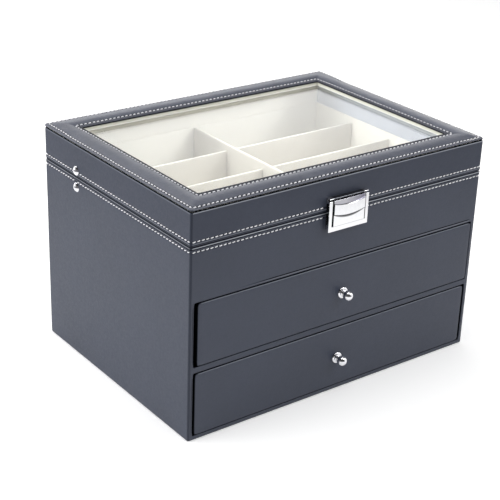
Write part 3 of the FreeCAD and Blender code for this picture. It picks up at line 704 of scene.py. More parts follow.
# ---------------------------------------------------------------------------
# Padded frame: crowned pad between two sewn rows, folded outer edge,
# turned down into the window
# ---------------------------------------------------------------------------
ROW_OUT, ROW_IN = 2.7, 21.3
FRAME_ROW_R = 0.4
FRAME_SHAPE = ((0.3, 223.30), (0.7, 223.72), (1.2, 223.90), (1.7, 223.88), (2.2, 223.76), (2.7, 223.66), (3.3, 223.80), (4.2, 224.10),
               (5.5, 224.45), (7.5, 224.95), (9.5, 225.38), (11.5, 225.66), (14.0, 225.76), (16.0, 225.60), (18.0, 225.22), (19.5, 224.84),
               (20.5, 224.52), (21.3, 224.28), (22.1, 224.46), (23.2, 224.52), (24.4, 224.50), (25.6, 224.40), (26.5, 224.20), (27.0, 224.02),
               (27.5, 223.72))


def frame_z(u):
    us, zs = zip(*FRAME_SHAPE)
    return float(np.mean([np.interp(u + d, us, zs) for d in (-0.3, -0.15, 0.0, 0.15, 0.3)]))


def frame_lift(x, y, u):
    """The back rail is a little lower beside its inner row and fuller along its outer edge, the right one flatter there."""
    back = smooth((np.asarray(y, float) - 80.0) / 20.0)
    right = smooth((np.asarray(x, float) - 140.0) / 15.0)
    outer = float(smooth((11.0 - u) / 7.0))
    return back * (0.60 * outer - 0.35 * math.exp(-((u - 21.3) / 2.6) ** 2)) - 0.20 * right * (1.0 - back) * outer


def frame_r(u):
    return 3.0 - 1.8 * u / FRAME_W


us = [0.7, 1.0, 1.35, 1.7, 2.0, 2.3, 2.5, 2.7, 2.9, 3.15, 3.5, 4.0, 4.7, 5.5, 6.4, 7.4, 8.6, 10.0, 11.5, 13.0, 14.6, 16.2, 17.4, 18.5, 19.4,
      20.1, 20.6, 20.95, 21.3, 21.65, 22.0, 22.5, 23.1, 23.8, 24.6, 25.4, 26.1, 26.7]
# fourth value of each level: painted shade in the gap under the pad, in a line beside the outer row and on the margin
# turned into the window; painted highlight on the folded outer edge
levels = [(0.79, 221.42, 1.1, 1.0), (0.72, 221.62, 1.2, 1.0), (0.50, 221.80, 1.5, 1.0), (0.24, 222.0, 2.1, 1.0),
          (0.06, 222.3, 2.2, 0.45), (0.02, 222.65, 2.4, 0.0), (0.06, 222.98, 2.7, -0.15), (0.18, 223.26, 2.9, -0.1), (0.40, 223.50, 3.0, 0.0)]
levels += [(u, frame_z(u), frame_r(u), max(0.65 * math.exp(-((u - ROW_OUT - 1.0) / 0.6) ** 2), 0.74 * smooth((u - 22.3) / 0.9))) for u in us]
levels += [(27.1, 223.96, 1.2, 0.76), (27.45, 223.74, 1.2, 0.8), (27.72, 223.5, 1.2, 0.95), (27.9, 223.22, 1.2, 1.0), (27.98, 222.95, 1.2, 1.0),
           (27.98, 222.78, 1.2, 1.0), (27.6, 222.72, 1.2, 1.0), (27.2, 222.72, 1.2, 1.0)]


def frame_push(co, N, S, T, l):
    u, z = l[0], l[1]
    d = np.zeros(len(S))
    if z > 222.0 and u < 26.5:
        d += frame_lift(co[:, 0], co[:, 1], u) * float(smooth((z - 222.0) / 1.4))
    if z < 221.9 or u > 27.2:
        return d
    hole_out = pucker(S, T, ROW_OUT, FRAME_ROW_R)
    hole_in = pucker(S, T, ROW_IN, FRAME_ROW_R)
    # slow swell of the foam and short ripples that run across the pad
    d += 0.16 * sines(co, 46.0, 31) * smooth((u - 5.0) / 3.0) * smooth((21.5 - u) / 3.0)
    d += 0.05 * sines(co, 11.0, 32) * smooth((u - 4.6) / 2.0) * smooth((22.5 - u) / 2.0)
    # thread pulls the leather in at each hole
    d -= 0.30 * hole_out * math.exp(-((u - ROW_OUT) / 0.8) ** 2)
    d -= 0.26 * hole_in * math.exp(-((u - ROW_IN) / 0.8) ** 2)
    # gathers beside the outer row
    if u > ROW_OUT:
        d += 0.12 * (hole_out - 0.5) * math.exp(-(u - ROW_OUT - 1.2) / 1.8) * (u > ROW_OUT + 1.0)
    else:
        d -= 0.26 * hole_out * smooth(u / 1.2 + 0.4) * (1 - 0.4 * smooth((u - 2.0) / 1.3))
        fold = np.sin(2 * math.pi * T / 2.6 + 2.2 * np.sin(T * 0.37) + 1.3 * u)
        d += 0.09 * fold * (S < 4) * smooth((z - 221.9) / 0.6) * smooth((223.9 - z) / 0.6)
    if u < ROW_IN:
        d += 0.07 * (hole_in - 0.5) * math.exp((u - ROW_IN + 1.2) / 1.6) * (u < ROW_IN - 1.0)
    else:
        d += 0.06 * sines(co, 4.0, 33)
    return d


def frame_paint(row, co, S, T, l):
    """Painted shade in the needle holes between the stitches and on the margin beside the window, darkest at the front
    and the left; painted highlight along the middle of the back and right rails.
    """
    u, z = l[0], l[1]
    if z > 223.6 and u > 1.2:
        row = row * np.where(S == 0, 1.0, np.where((S == 3) | (S == 7), 0.5 if u < 12 else 1.0, 0.12 if u < 12 else 0.5))
        # painted highlight along the middle of the back and right rails
        if 3.2 < u < 20.0:
            row = row - 0.10 * ((S == 2) | (S == 1) | (S == 5)) * float(smooth((u - 3.2) / 2.0) * smooth((20.0 - u) / 6.0))
        for row_u, k in ((ROW_OUT, 1.0), (ROW_IN, 1.0)):
            if abs(u - row_u) < 2.0:
                row = np.maximum(row, k * pucker(S, T, row_u, FRAME_ROW_R) ** 1.5 * math.exp(-((u - row_u) / 0.95) ** 2))
    return row


fx_pad = fractions(even(HX - 2.0, 0.7), HX - 2.0)
fy_pad = fractions(even(HY - 2.0, 0.7), HY - 2.0)
verts, faces, painted_light, n_ring = sweep(levels, fx_pad, fy_pad, 6, frame_push, paint=frame_paint)
frame_pad = add_mesh("frame_pad", verts, faces, M_PAD, "lid", ["lid_padded_frame"], painted_light)

# ---------------------------------------------------------------------------
# Stitches: twisted thread, one closed little body per stitch
# ---------------------------------------------------------------------------


def stitch_shape(length, width, height, sink, seg=8, rings=9):
    """One stitch along +X, up +Z, centre at the surface: (verts, faces)."""
    V, F = [], []
    for i in range(rings):
        a = -1 + 2 * i / (rings - 1)
        lift = height - (height + sink) * abs(a) ** 6.0
        rad = width / 2 * (1 - 0.25 * abs(a) ** 5)
        for j in range(seg):
            t = 2 * math.pi * j / seg
            ridge = 1 + 0.13 * math.cos(2 * t - 5.0 * a)
            V.append((a * length / 2, rad * ridge * math.cos(t), lift + rad * 0.85 * ridge * math.sin(t)))
    for i in range(rings - 1):
        for j in range(seg):
            k = (j + 1) % seg
            F.append((i * seg + j, (i + 1) * seg + j, (i + 1) * seg + k, i * seg + k))
    V.append((-length / 2 - 0.12, 0, -sink)); V.append((length / 2 + 0.12, 0, -sink))
    a, b = len(V) - 2, len(V) - 1
    for j in range(seg):
        k = (j + 1) % seg
        F.append((a, j, k))
        F.append((b, (rings - 1) * seg + k, (rings - 1) * seg + j))
    return np.array(V), F


def stitch_row(name, material, body, inset, r, z, up, tilt, length=3.1, width=1.0, height=0.20, sink=0.6, avoid=None, seed=3, lift=None, side=1.0):
    """Stitches round one ring. up: tilt of the surface normal from outward (0) to upward (90) in degrees. side: length
    of the left and right rows against the others."""
    g = np.random.default_rng(seed)
    sv, sf = stitch_shape(1.0, 1.0, 1.0, 1.0)
    nx, ny, ax, ay = row_count(inset, r)
    V, F = [], []
    for k in range(4):
        half, n = (ax, nx) if k in (0, 2) else (ay, ny)
        cs, step = stations(half, n)
        for c in cs:
            if avoid is not None and avoid(k, c):
                continue
            if k == 0:
                p, t, o = (c, -(HY - inset)), (1, 0), (0, -1)
            elif k == 1:
                p, t, o = (HX - inset, c), (0, 1), (1, 0)
            elif k == 2:
                p, t, o = (c, HY - inset), (-1, 0), (0, 1)
            else:
                p, t, o = (-(HX - inset), c), (0, -1), (-1, 0)
            T3 = Vector((t[0], t[1], 0.0))
            u = math.radians(up)
            N3 = Vector((o[0] * math.cos(u), o[1] * math.cos(u), math.sin(u)))
            B3 = N3.cross(T3)
            a = math.radians(tilt + g.normal(0, 1.6))
            T4 = T3 * math.cos(a) + B3 * math.sin(a)
            B4 = N3.cross(T4)
            ln = length * (side if k in (1, 3) else 1.0) * (1 + g.normal(0, 0.025)) * (step / STITCH_PITCH)
            shape, f = stitch_shape(ln, width * (1 + g.normal(0, 0.03)), height, sink)
            M = np.array([T4, B4, N3])
            base = np.array([p[0], p[1], z + (0.0 if lift is None else float(lift(p[0], p[1], inset)))]) + g.normal(0, 0.05, 3)
            off = len(V)
            V.extend((shape @ M + base).tolist())
            F.extend(tuple(i + off for i in q) for q in f)
    return add_mesh(name, np.array(V), F, material, body)


def behind_front_or_hinge(rivet_gap):
    def avoid(k, c):
        if k == 0:
            return CLASP_X[0] - 1.5 < c < CLASP_X[1] + 1.5
        if k == 2:
            return any(a - 1.5 < c < b + 1.5 for a, b in HINGES_X)
        if k == 3:
            return abs(c - RIVET_Y) < rivet_gap
        return False
    return avoid


stitch_row("frame_outer_stitches", M_THREAD, "lid", ROW_OUT, FRAME_ROW_R, frame_z(ROW_OUT) + 0.10, 78, 9, length=2.85, width=1.05, height=0.30, seed=41, lift=frame_lift, side=0.8)
stitch_row("frame_inner_stitches", M_THREAD, "lid", ROW_IN, FRAME_ROW_R, frame_z(ROW_IN) + 0.08, 94, 9, length=2.85, width=1.0, height=0.26, seed=42, lift=frame_lift, side=0.8)
stitch_row("lid_foot_stitches", M_THREAD, "lid", 0.30, ROW_R, 194.0, 0, 9, length=3.2, width=0.98, height=0.24, side=0.9, avoid=behind_front_or_hinge(3.7), seed=43)
stitch_row("case_rim_stitches", M_THREAD, "case", 0.28, ROW_R, 184.5, 0, 9, length=3.2, width=1.0, height=0.24, side=0.9,
           avoid=behind_front_or_hinge(3.0), seed=44)

# ---------------------------------------------------------------------------
# Soft slabs: velvet-covered cards and dividers
# ---------------------------------------------------------------------------


def slab(x0, x1, y0, y1, z0, z1, r=0.7, step=4.0, amp=0.0, seed=1, arcs=3):
    """Closed box with rounded edges and a faintly uneven skin."""
    lo, hi = np.array([x0, y0, z0], float), np.array([x1, y1, z1], float)
    r = min(r, 0.5 * float(np.min(hi - lo)) - 0.01)
    lines = []
    for a, b in zip(lo, hi):
        inner = max(1, int(round((b - a - 2 * r) / step)))
        edge = [r * (1 - math.cos(math.pi / 2 * i / arcs)) for i in range(arcs)]
        lines.append([a + e for e in edge] + list(np.linspace(a + r, b - r, inner + 1)) + [b - e for e in reversed(edge)])
    index, V, F = {}, [], []

    def vid(i, j, k):
        key = (i, j, k)
        if key not in index:
            index[key] = len(V)
            V.append((lines[0][i], lines[1][j], lines[2][k]))
        return index[key]

    nx, ny, nz = (len(l) - 1 for l in lines)
    for i in range(nx):
        for j in range(ny):
            F.append((vid(i, j, 0), vid(i, j + 1, 0), vid(i + 1, j + 1, 0), vid(i + 1, j, 0)))
            F.append((vid(i, j, nz), vid(i + 1, j, nz), vid(i + 1, j + 1, nz), vid(i, j + 1, nz)))
    for i in range(nx):
        for k in range(nz):
            F.append((vid(i, 0, k), vid(i + 1, 0, k), vid(i + 1, 0, k + 1), vid(i, 0, k + 1)))
            F.append((vid(i, ny, k), vid(i, ny, k + 1), vid(i + 1, ny, k + 1), vid(i + 1, ny, k)))
    for j in range(ny):
        for k in range(nz):
            F.append((vid(0, j, k), vid(0, j, k + 1), vid(0, j + 1, k + 1), vid(0, j + 1, k)))
            F.append((vid(nx, j, k), vid(nx, j + 1, k), vid(nx, j + 1, k + 1), vid(nx, j, k + 1)))
    V = np.array(V)
    q = np.clip(V, lo + r, hi - r)
    d = V - q
    ln = np.linalg.norm(d, axis=1, keepdims=True)
    nrm = np.where(ln > 1e-9, d / np.maximum(ln, 1e-9), 0)
    V = q + nrm * r
    if amp:
        V = V + nrm * (amp * (sines(V, 26.0, seed) * 0.6 + sines(V, 9.0, seed + 50) * 0.4))[:, None]
    return V, F


def join(parts):
    V, F, off = [], [], 0
    for v, f in parts:
        V.append(v)
        F.extend(tuple(i + off for i in q) for q in f)
        off += len(v)
    return np.vstack(V), F


def velvet_piece(name, parts, body, replaces, material=None, second=None):
    v, f = join(parts)
    return add_mesh(name, v, f, material or M_VELVET, body, replaces, second=second)


TF = 140.5
tray_parts = [slab(-IX, IX, -IY, IY, 139.6, TF, 0.4, 6.0, 0.05, 61)]
for s in (-1, 1):
    tray_parts.append(slab(min(s * IX, s * LX), max(s * IX, s * LX), -IY, IY, 139.6, 188.80, 0.22, 4.0, 0.05, 62 + s))
    tray_parts.append(slab(-LX, LX, min(s * IY, s * LY), max(s * IY, s * LY), 139.6, 188.80, 0.22, 4.0, 0.05, 66 + s))
# the tray floor takes the darker copy of the velvet: painted shade
velvet_piece("tray_velvet", tray_parts, "case", ["tray_lining"], second=(M_VELVET_SHADED, lambda c, n: c[2] < 141.0 and abs(n[2]) > 0.9))

lid_parts = []
for s in (-1, 1):
    lid_parts.append(slab(min(s * IX, s * LX), max(s * IX, s * LX), -IY, IY, 188.95, 219.35, 0.22, 4.0, 0.05, 72 + s))
    lid_parts.append(slab(-LX, LX, min(s * IY, s * LY), max(s * IY, s * LY), 188.95, 219.35, 0.22, 4.0, 0.05, 76 + s))
velvet_piece("lid_velvet", lid_parts, "lid", ["lid_lining"], second=(M_SIDE, lambda c, n: abs(c[0]) > 163.8))

DT = 1.3
# the dividers' faces take the darker copy of the velvet and their tops a lighter one: painted shade
velvet_piece("tray_long_divider_velvet", [slab(-DT, DT, -LY + 0.1, LY - 0.1, TF - 0.2, 189.25, 1.25, 4.0, 0.07, 81)],
             "case", ["tray_long_divider"], M_VELVET_SHADED, (M_VELVET_TOPS_SHADED, lambda c, n: c[2] > 188.2 and n[2] > 0.6))
for nme, y in (("front", -59.5), ("middle", 0.0), ("rear", 59.5)):
    velvet_piece("tray_%s_cross_divider_velvet" % nme,
                 [slab(-LX + 0.1, -DT + 0.15, y - DT, y + DT, TF - 0.2, 182.8, 1.25, 4.0, 0.07, 82 + int(y)),
                  slab(DT - 0.15, LX - 0.1, y - DT, y + DT, TF - 0.2, 182.8, 1.25, 4.0, 0.07, 182 + int(y))],
                 "case", ["tray_%s_cross_divider" % nme], M_VELVET_SHADED, (M_VELVET_TOPS_SHADED, lambda c, n: c[2] > 181.8 and n[2] > 0.6))

# strip that holds the glass up, along the lining of the lid
# the fourth values darken the strip's top inner edge: painted shade
ring_levels = [(6.25, 216.35, 0.4, 0.0), (6.25, 213.1, 0.4, 0.0), (6.5, 212.92, 0.4, 0.0), (8.0, 212.9, 0.4, 0.0), (9.6, 212.92, 0.4, 0.0),
               (10.05, 213.15, 0.4, 0.0), (10.2, 213.6, 0.4, 0.0), (10.2, 214.8, 0.4, 0.0), (10.15, 216.1, 0.4, 0.2), (10.0, 216.35, 0.4, 0.3),
               (6.25, 216.35, 0.4, 0.0)]
verts, faces, painted_light, n_ring = sweep(ring_levels, fractions(even(HX - 2.0, 4.0), HX - 2.0), fractions(even(HY - 2.0, 4.0), HY - 2.0), 3,
                                     lambda co, N, S, T, l: 0.04 * sines(co, 12.0, 91))
# the ring's profile runs inwards along its underside, so its faces are turned over
faces = [tuple(reversed(f)) for f in faces]
add_mesh("glass_strip", verts, faces, M_VELVET, "lid", ["glass_retainer"], painted_light)

# pale band on the window's edge between the turned-down leather and the glass, and the line of glue under it; the band
# carries painted shade towards its top, under the leather's edge
band = [(27.3, 222.66, 1.2, 0.0), (27.85, 222.68, 1.2, 0.8), (27.97, 222.5, 1.2, 0.6), (28.0, 222.0, 1.2, 0.25), (28.0, 221.3, 1.2, 0.06),
        (28.0, 220.6, 1.2, 0.0), (28.0, 220.0, 1.2, 0.0), (27.97, 219.6, 1.2, 0.05), (27.8, 219.45, 1.2, 0.0), (27.3, 219.45, 1.2, 0.0),
        (27.3, 222.66, 1.2, 0.0)]
verts, faces, painted_light, n_ring = sweep(band, fractions(even(HX - 2.0, 3.0), HX - 2.0), fractions(even(HY - 2.0, 3.0), HY - 2.0), 5,
                                     lambda co, N, S, T, l: 0.04 * sines(co, 9.0, 92))
add_mesh("window_band", verts, faces, M_RING, "lid", ["window_edge_band"], painted_light)
glue = [(27.9, 220.15, 1.2, 0.0), (28.06, 220.05, 1.2, 0.0), (28.2, 219.85, 1.2, 0.0), (28.42, 219.6, 1.2, 0.0), (28.6, 219.46, 1.2, 0.0),
        (28.3, 219.42, 1.2, 0.0), (27.9, 219.42, 1.2, 0.0), (27.9, 220.15, 1.2, 0.0)]
verts, faces, painted_light, n_ring = sweep(glue, fractions(even(HX - 2.0, 3.0), HX - 2.0), fractions(even(HY - 2.0, 3.0), HY - 2.0), 5,
                                     lambda co, N, S, T, l: 0.05 * sines(co, 7.0, 93))
add_mesh("window_glue_line", verts, faces, M_GLUE, "lid", (), painted_light)

# ---------------------------------------------------------------------------
# Underside: felt panel inside the turned-under leather
# ---------------------------------------------------------------------------
v, f = slab(-169.0, 169.0, -124.0, 124.0, 0.55, 4.0, 0.8, 8.0, 0.0, 95)
base_panel = add_mesh("base_panel", v, f, M_FELT, "case", ["base_board"])

# ---------------------------------------------------------------------------
# Drawers
# ---------------------------------------------------------------------------


def drawer_front(name, body, x0, x1, z0, z1, seed, replaces):
    """Leather pulled over the front board and turned in round its edges."""
    nx, nz = 84, 18
    R, yb = 0.8, -119.25
    fx = np.linspace(0, 1, nx + 1)
    fz = np.linspace(0, 1, nz + 1)

    def loop(inset, rc):
        X0, X1, Z0, Z1 = x0 + inset, x1 - inset, z0 + inset, z1 - inset
        pts = [(X0 + (X1 - X0) * t, Z0) for t in fx] + [(X1, Z0 + (Z1 - Z0) * t) for t in fz[1:]]
        pts += [(X1 + (X0 - X1) * t, Z1) for t in fx[1:]] + [(X0, Z1 + (Z0 - Z1) * t) for t in fz[1:-1]]
        q = np.array(pts)
        for cx, cz, sx, sz in ((X0 + rc, Z0 + rc, -1, -1), (X1 - rc, Z0 + rc, 1, -1), (X1 - rc, Z1 - rc, 1, 1), (X0 + rc, Z1 - rc, -1, 1)):
            dx, dz = (q[:, 0] - cx) * sx, (q[:, 1] - cz) * sz
            m = (dx > 0) & (dz > 0)
            if m.any():
                ln = np.hypot(dx[m], dz[m])
                q[m, 0] = cx + sx * dx[m] / ln * rc
                q[m, 1] = cz + sz * dz[m] / ln * rc
        return q

    V, F, C = [], [], []
    X0, X1, Z0, Z1 = x0 + R, x1 - R, z0 + R, z1 - R
    grid = [[0] * (nz + 1) for _ in range(nx + 1)]
    for i, a in enumerate(fx):
        for k, b in enumerate(fz):
            grid[i][k] = len(V)
            V.append((X0 + (X1 - X0) * a, -HY, Z0 + (Z1 - Z0) * b)); C.append(0.0)
    V = np.array(V)
    ed = np.minimum.reduce([V[:, 0] - X0, X1 - V[:, 0], V[:, 2] - Z0, Z1 - V[:, 2]])
    V[:, 1] -= smooth(ed / 8.0) * (0.05 * sines(V, 60.0, seed) + 0.02 * sines(V, 15.0, seed + 1)) + 0.10 * smooth(ed / 16.0)
    V = [tuple(q) for q in V]
    for i in range(nx):
        for k in range(nz):
            F.append((grid[i][k], grid[i + 1][k], grid[i + 1][k + 1], grid[i][k + 1]))
    rim = [grid[i][0] for i in range(nx + 1)] + [grid[nx][k] for k in range(1, nz + 1)]
    rim += [grid[i][nz] for i in range(nx - 1, -1, -1)] + [grid[0][k] for k in range(nz - 1, 0, -1)]
    for v, q in zip(rim, loop(R, 0.9)):
        V[v] = (q[0], V[v][1], q[1])
    prev = rim
    steps = [(R * (1 - math.sin(t)), -HY + R * (1 - math.cos(t)), 0.9 + 0.9 * t) for t in np.linspace(0, math.pi / 2, 6)[1:]]
    steps += [(0.0, -122.4, 2.0), (0.02, -120.6, 2.0), (0.05, yb - 0.4, 2.0), (0.4, yb, 2.0), (9.0, yb, 2.0)]
    for inset, y, rc in steps:
        start = len(V)
        # painted shade darkening the turned-in sides towards the back, and a painted highlight on the top edge's first
        # loops
        side_shade = min(1.0, 0.25 + max(0.0, (y + HY) / R) * 1.1)
        top_shade_and_highlight = min(1.0, (y + HY - 0.45) / 0.7) if y + HY > 0.5 else -0.35
        for q in loop(inset, min(rc, 2.0)):
            top = q[1] > Z1 - 0.3 and X0 + 0.4 < q[0] < X1 - 0.4
            V.append((q[0], y, q[1])); C.append(top_shade_and_highlight if top else side_shade)
        new = list(range(start, start + len(rim)))
        for i in range(len(rim)):
            j = (i + 1) % len(rim)
            F.append((prev[i], new[i], new[j], prev[j]))
        prev = new
    return add_mesh(name, np.array(V), F, M_WALL, body, replaces, C)


def drawer_inside(name, body, shift, zf, zw):
    """Velvet-lined inside with its half-lapped dividers."""
    xa, xb = -163.35 + 0.4 + shift, 163.35 - 0.4 + shift
    a0, a1, b0, b1 = xa + 3.0, xb - 3.0, -119.2, 114.0
    zb = zf + 2.6
    t = 1.0
    parts = [slab(a0 + 0.05, a1 - 0.05, b0 + 0.05, b1 - 0.05, zb, zb + t, 0.4, 7.0, 0.04, 101)]
    for s, (p, q) in enumerate(((a0, a0 + t), (a1 - t, a1))):
        parts.append(slab(p, q, b0, b1, zb, zw - 0.4, 0.45, 6.0, 0.04, 103 + s))
    for s, (p, q) in enumerate(((b0, b0 + t), (b1 - t, b1))):
        parts.append(slab(a0 + t, a1 - t, p, q, zb, zw - 0.4, 0.45, 6.0, 0.04, 105 + s))
    velvet_piece(name + "_velvet", parts, body, [name + "_lining"])
    q0, q1 = b0 + t, b1 - t
    xc = (a0 + a1) / 2
    z_long, z_cross = zw - 1.5, zw - 7.5
    velvet_piece(name + "_long_divider_velvet", [slab(xc - DT, xc + DT, q0 + 0.1, q1 - 0.1, zb + t - 0.1, z_long, 1.2, 6.0, 0.06, 111)],
                 body, [name + "_long_divider"])
    parts = []
    for i in (1, 2, 3):
        y = q0 + (q1 - q0) / 4 * i
        parts.append(slab(a0 + t + 0.1, xc - DT + 0.15, y - DT, y + DT, zb + t - 0.1, z_cross, 1.2, 6.0, 0.06, 112 + i))
        parts.append(slab(xc + DT - 0.15, a1 - t - 0.1, y - DT, y + DT, zb + t - 0.1, z_cross, 1.2, 6.0, 0.06, 116 + i))
    velvet_piece(name + "_cross_dividers_velvet", parts, body, [name + "_cross_dividers"])


drawer_front("lower_drawer_cover", "lower_drawer", -163.35, 163.35, 4.6, 66.7, 121, ["lower_drawer_front_leather"])
drawer_front("upper_drawer_cover", "upper_drawer", -161.55, 165.15, 74.1, 135.2, 131, ["upper_drawer_front_leather"])
drawer_inside("lower_drawer", "lower_drawer", 0.0, 4.6, 62.2)
drawer_inside("upper_drawer", "upper_drawer", 1.8, 74.1, 130.7)

# ---------------------------------------------------------------------------
# Lid stay: a leather strap between the two rivets, straight when the lid is open
# ---------------------------------------------------------------------------
HINGE = np.array([127.5, 188.8])
P0, P1 = np.array([65.5, 178.8]), np.array([65.5, 195.3])
OPEN = math.radians(95.0)


def turned(p, a):
    """A point (y, z) carried by the lid opened by a."""
    d = p - HINGE
    return HINGE + np.array([d[0] * math.cos(a) + d[1] * math.sin(a), -d[0] * math.sin(a) + d[1] * math.cos(a)])


def strap_rest(n):
    q = turned(P1, OPEN)
    pts, last = [], P0[1]
    for i in range(n + 1):
        t = i / n
        X = P0 + t * (q - P0)
        best = None
        for w in np.linspace(0, 1, 2001):
            y = turned(X, -w * OPEN)
            s = min(1.0, max(0.0, (y[1] - P0[1]) / (P1[1] - P0[1])))
            e = abs(s * s * (3 - 2 * s) - w)
            if y[1] >= last - 0.3 and (best is None or e < best[0]):
                best = (e, y, w)
        pts.append(best[1]); last = best[1][1]
    return np.array(pts)


rest = strap_rest(60)
tan = np.gradient(rest, axis=0)
tan /= np.maximum(np.linalg.norm(tan, axis=1, keepdims=True), 1e-9)
nrm = np.column_stack([-tan[:, 1], tan[:, 0]])
V, F = [], []
W, xi, xo = 3.8, -163.96, -163.04
prof = [(-W, xi), (-W, xo - 0.2), (-W + 0.25, xo), (-W * 0.72, xo + 0.02), (-W * 0.66, xo - 0.06), (-W * 0.6, xo + 0.02), (0, xo + 0.03),
        (W * 0.6, xo + 0.02), (W * 0.66, xo - 0.06), (W * 0.72, xo + 0.02), (W - 0.25, xo), (W, xo - 0.2), (W, xi)]
m = len(prof)
for (y, z), (ny_, nz_) in zip(rest, nrm):
    for w, x in prof:
        V.append((x, y + ny_ * w, z + nz_ * w))
for i in range(len(rest) - 1):
    for j in range(m):
        k = (j + 1) % m
        F.append((i * m + j, i * m + k, (i + 1) * m + k, (i + 1) * m + j))
for end, sgn in ((0, -1), (len(rest) - 1, 1)):
    # half-round end
    c, tt, nn = rest[end], tan[end] * sgn, nrm[end]
    base = [end * m + j for j in range(m)]
    prev = base
    for a in np.linspace(0, math.pi / 2, 7)[1:]:
        start = len(V)
        for w, x in prof:
            ww, ll = w * math.cos(a), abs(W) * math.sin(a) * math.sqrt(max(0.0, 1 - (w / W) ** 2 * 0)) * 1.0
            V.append((x, c[0] + nn[0] * ww + tt[0] * ll, c[1] + nn[1] * ww + tt[1] * ll))
        new = list(range(start, start + m))
        for j in range(m):
            k = (j + 1) % m
            q = (prev[j], prev[k], new[k], new[j])
            F.append(q if sgn > 0 else tuple(reversed(q)))
        prev = new
strap = add_mesh("stay_strap", np.array(V), F, M_STAY, None, ["lid_stay_strap"])
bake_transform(strap)

# ---------------------------------------------------------------------------
# Finishes of the pieces whose CAD shape is kept
# ---------------------------------------------------------------------------
FINISH = {
    # the clasp's and the bracket's chrome carry painted reflection and painted shade
    M_CLASP: ["clasp_flap"],
    M_BRACKET: ["clasp_bracket"],
    M_CHROME: ["clasp_catch", "clasp_pin", "upper_drawer_knob", "lower_drawer_knob",
               "case_stay_rivet", "lid_stay_rivet"],
    M_STEEL: ["left_hinge_case_leaf", "right_hinge_case_leaf", "left_hinge_lid_leaf", "right_hinge_lid_leaf", "hinge_pins",
              "case_hinge_screws", "lid_hinge_screws", "upper_drawer_knob_screw", "lower_drawer_knob_screw"],
    M_BAY: ["left_side_board", "right_side_board", "back_board", "front_panel_board", "drawer_shelf_board", "tray_floor_board",
            "upper_drawer_left_board", "upper_drawer_right_board", "upper_drawer_back_board", "upper_drawer_bottom_board",
            "lower_drawer_left_board", "lower_drawer_right_board", "lower_drawer_back_board", "lower_drawer_bottom_board"],
    M_VELVET: ["lid_window_board"],
    M_BOARD: ["lid_left_board", "lid_right_board", "lid_front_board", "lid_back_board",
              "upper_drawer_front_board", "lower_drawer_front_board"],
    M_GLASS: ["glass_pane"],
}
for material, names in FINISH.items():
    for nme in names:
        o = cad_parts[nme]
        if not o.material_slots:
            o.data.materials.append(material)
        for s in o.material_slots:
            s.material = material

# ---------------------------------------------------------------------------
# Floor, light, camera
# ---------------------------------------------------------------------------
me = bpy.data.meshes.new("floor")
n = 24
co = [(-6 + 12 * i / n, -6 + 12 * j / n, -0.0004) for j in range(n + 1) for i in range(n + 1)]
me.from_pydata(co, [], [(j * (n + 1) + i, j * (n + 1) + i + 1, (j + 1) * (n + 1) + i + 1, (j + 1) * (n + 1) + i) for j in range(n) for i in range(n)])
floor = bpy.data.objects.new("floor", me)
bpy.context.scene.collection.objects.link(floor)
k = Nodes("pale_floor")
p = k.principled()
c = k.coords()
k.link(k.mix(k.noise(c, 3.0, 3.0, 0.5), (0.82, 0.82, 0.82), (0.86, 0.86, 0.86)), p.inputs["Base Color"])
k.link(k.range(k.noise(c, 40.0, 3.0, 0.5), 0.3, 0.7, 0.85, 0.95), p.inputs["Roughness"])
p.inputs["Specular IOR Level"].default_value = 0.1
p.inputs["Emission Color"].default_value = (1.0, 1.0, 1.0, 1.0)
p.inputs["Emission Strength"].default_value = 0.28
# the studio's grey floor begins beyond the white table, except at the back; only reflections show it
far = k.add("BsdfDiffuse")
far.inputs["Color"].default_value = (0.10, 0.10, 0.115, 1.0)
ln = k.add("VectorMath", operation="LENGTH")
k.link(c, ln.inputs[0])
lp = k.add("LightPath")
mx = k.add("MixShader")
dt = k.add("VectorMath", operation="DOT_PRODUCT")
k.link(c, dt.inputs[0])
dt.inputs[1].default_value = (0.67, 0.74, 0.0)
grey = k.math("MULTIPLY", k.range(ln.outputs["Value"], 0.50, 0.95, 0.0, 1.0), k.range(dt.outputs["Value"], 0.05, 0.40, 1.0, 0.0))
k.link(k.math("MULTIPLY", grey, lp.outputs["Is Glossy Ray"]), mx.inputs[0])
k.link(p.outputs[0], mx.inputs[1])
k.link(far.outputs[0], mx.inputs[2])
k.link(mx.outputs[0], k.out.inputs["Surface"])
me.materials.append(k.m)


def area(name, place, aim, size, power, colour=(1, 1, 1)):
    l = bpy.data.lights.new(name, "AREA")
    l.shape = "RECTANGLE"
    l.size, l.size_y = size
    l.energy = power
    l.color = colour
    o = bpy.data.objects.new(name, l)
    o.location = place
    d = Vector(aim) - Vector(place)
    o.rotation_mode = "QUATERNION"
    o.rotation_quaternion = d.to_track_quat("-Z", "Y")
    bpy.context.scene.collection.objects.link(o)
    return o


area("top_softbox", (-0.1, 0.0, 1.8), (0.0, 0.0, 0.1), (2.0, 1.6), 20.0)
area("back_softbox", (-0.7, 1.6, 2.0), (0.0, 0.0, 0.15), (1.6, 1.0), 20.0)
left = area("left_softbox", (-2.0, 0.7, 1.0), (0.0, 0.0, 0.1), (1.6, 1.6), 34.0)
left.visible_glossy = False
area("key_softbox", (1.1, -1.3, 1.5), (0.0, 0.0, 0.15), (0.9, 0.7), 19.0)

world = bpy.data.worlds.new("studio")
bpy.context.scene.world = world
world.use_nodes = True
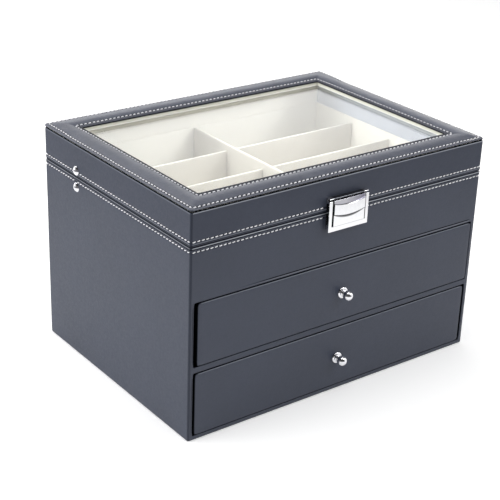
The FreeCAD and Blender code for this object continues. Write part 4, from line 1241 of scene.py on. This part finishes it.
# a white sweep behind the case; the rest of the studio is grey, and dark behind the camera
wt = world.node_tree
bg = wt.nodes["Background"]
bg.inputs["Color"].default_value = (1.0, 1.0, 1.0, 1.0)
tc = wt.nodes.new("ShaderNodeTexCoord")
dot = wt.nodes.new("ShaderNodeVectorMath")
dot.operation = "DOT_PRODUCT"
dot.inputs[1].default_value = (-0.60, -0.76, 0.25)
mr = wt.nodes.new("ShaderNodeMapRange")
mr.interpolation_type = "SMOOTHSTEP"
for k, v in zip(("From Min", "From Max", "To Min", "To Max"), (-0.2, 0.6, 1.75, 0.20)):
    mr.inputs[k].default_value = v
wt.links.new(tc.outputs["Generated"], dot.inputs[0])
wt.links.new(dot.outputs["Value"], mr.inputs["Value"])
sp = wt.nodes.new("ShaderNodeSeparateXYZ")
wt.links.new(tc.outputs["Generated"], sp.inputs[0])
zr = wt.nodes.new("ShaderNodeMapRange")
zr.interpolation_type = "SMOOTHSTEP"
for k, v in zip(("From Min", "From Max", "To Min", "To Max"), (0.22, 0.58, 1.0, 0.16)):
    zr.inputs[k].default_value = v
wt.links.new(sp.outputs[2], zr.inputs["Value"])
ml = wt.nodes.new("ShaderNodeMath")
ml.operation = "MULTIPLY"
wt.links.new(mr.outputs[0], ml.inputs[0])
wt.links.new(zr.outputs[0], ml.inputs[1])
wt.links.new(ml.outputs[0], bg.inputs["Strength"])

a, e, roll = math.radians(-37.39), math.radians(24.59), math.radians(2.097)
back = Vector((math.sin(a) * math.cos(e), -math.cos(a) * math.cos(e), math.sin(e)))
right = Vector((0, 0, 1)).cross(back).normalized()
up = back.cross(right)
right, up = right * math.cos(roll) + up * math.sin(roll), up * math.cos(roll) - right * math.sin(roll)
cam = bpy.data.cameras.new("camera")
cam.sensor_fit = "HORIZONTAL"
cam.sensor_width = 36.0
cam.lens = 1303.3 / 500 * 36.0
cam.clip_start, cam.clip_end = 0.05, 50.0
camera = bpy.data.objects.new("camera", cam)
bpy.context.scene.collection.objects.link(camera)
rot = Matrix((right, up, back)).transposed()
camera.matrix_world = Matrix.Translation(Vector((-726.9, -934.6, 639.1)) * MM) @ rot.to_4x4()
bpy.context.scene.camera = camera

bpy.context.scene.view_settings.view_transform = "Standard"
bpy.context.scene.view_settings.look = "None"
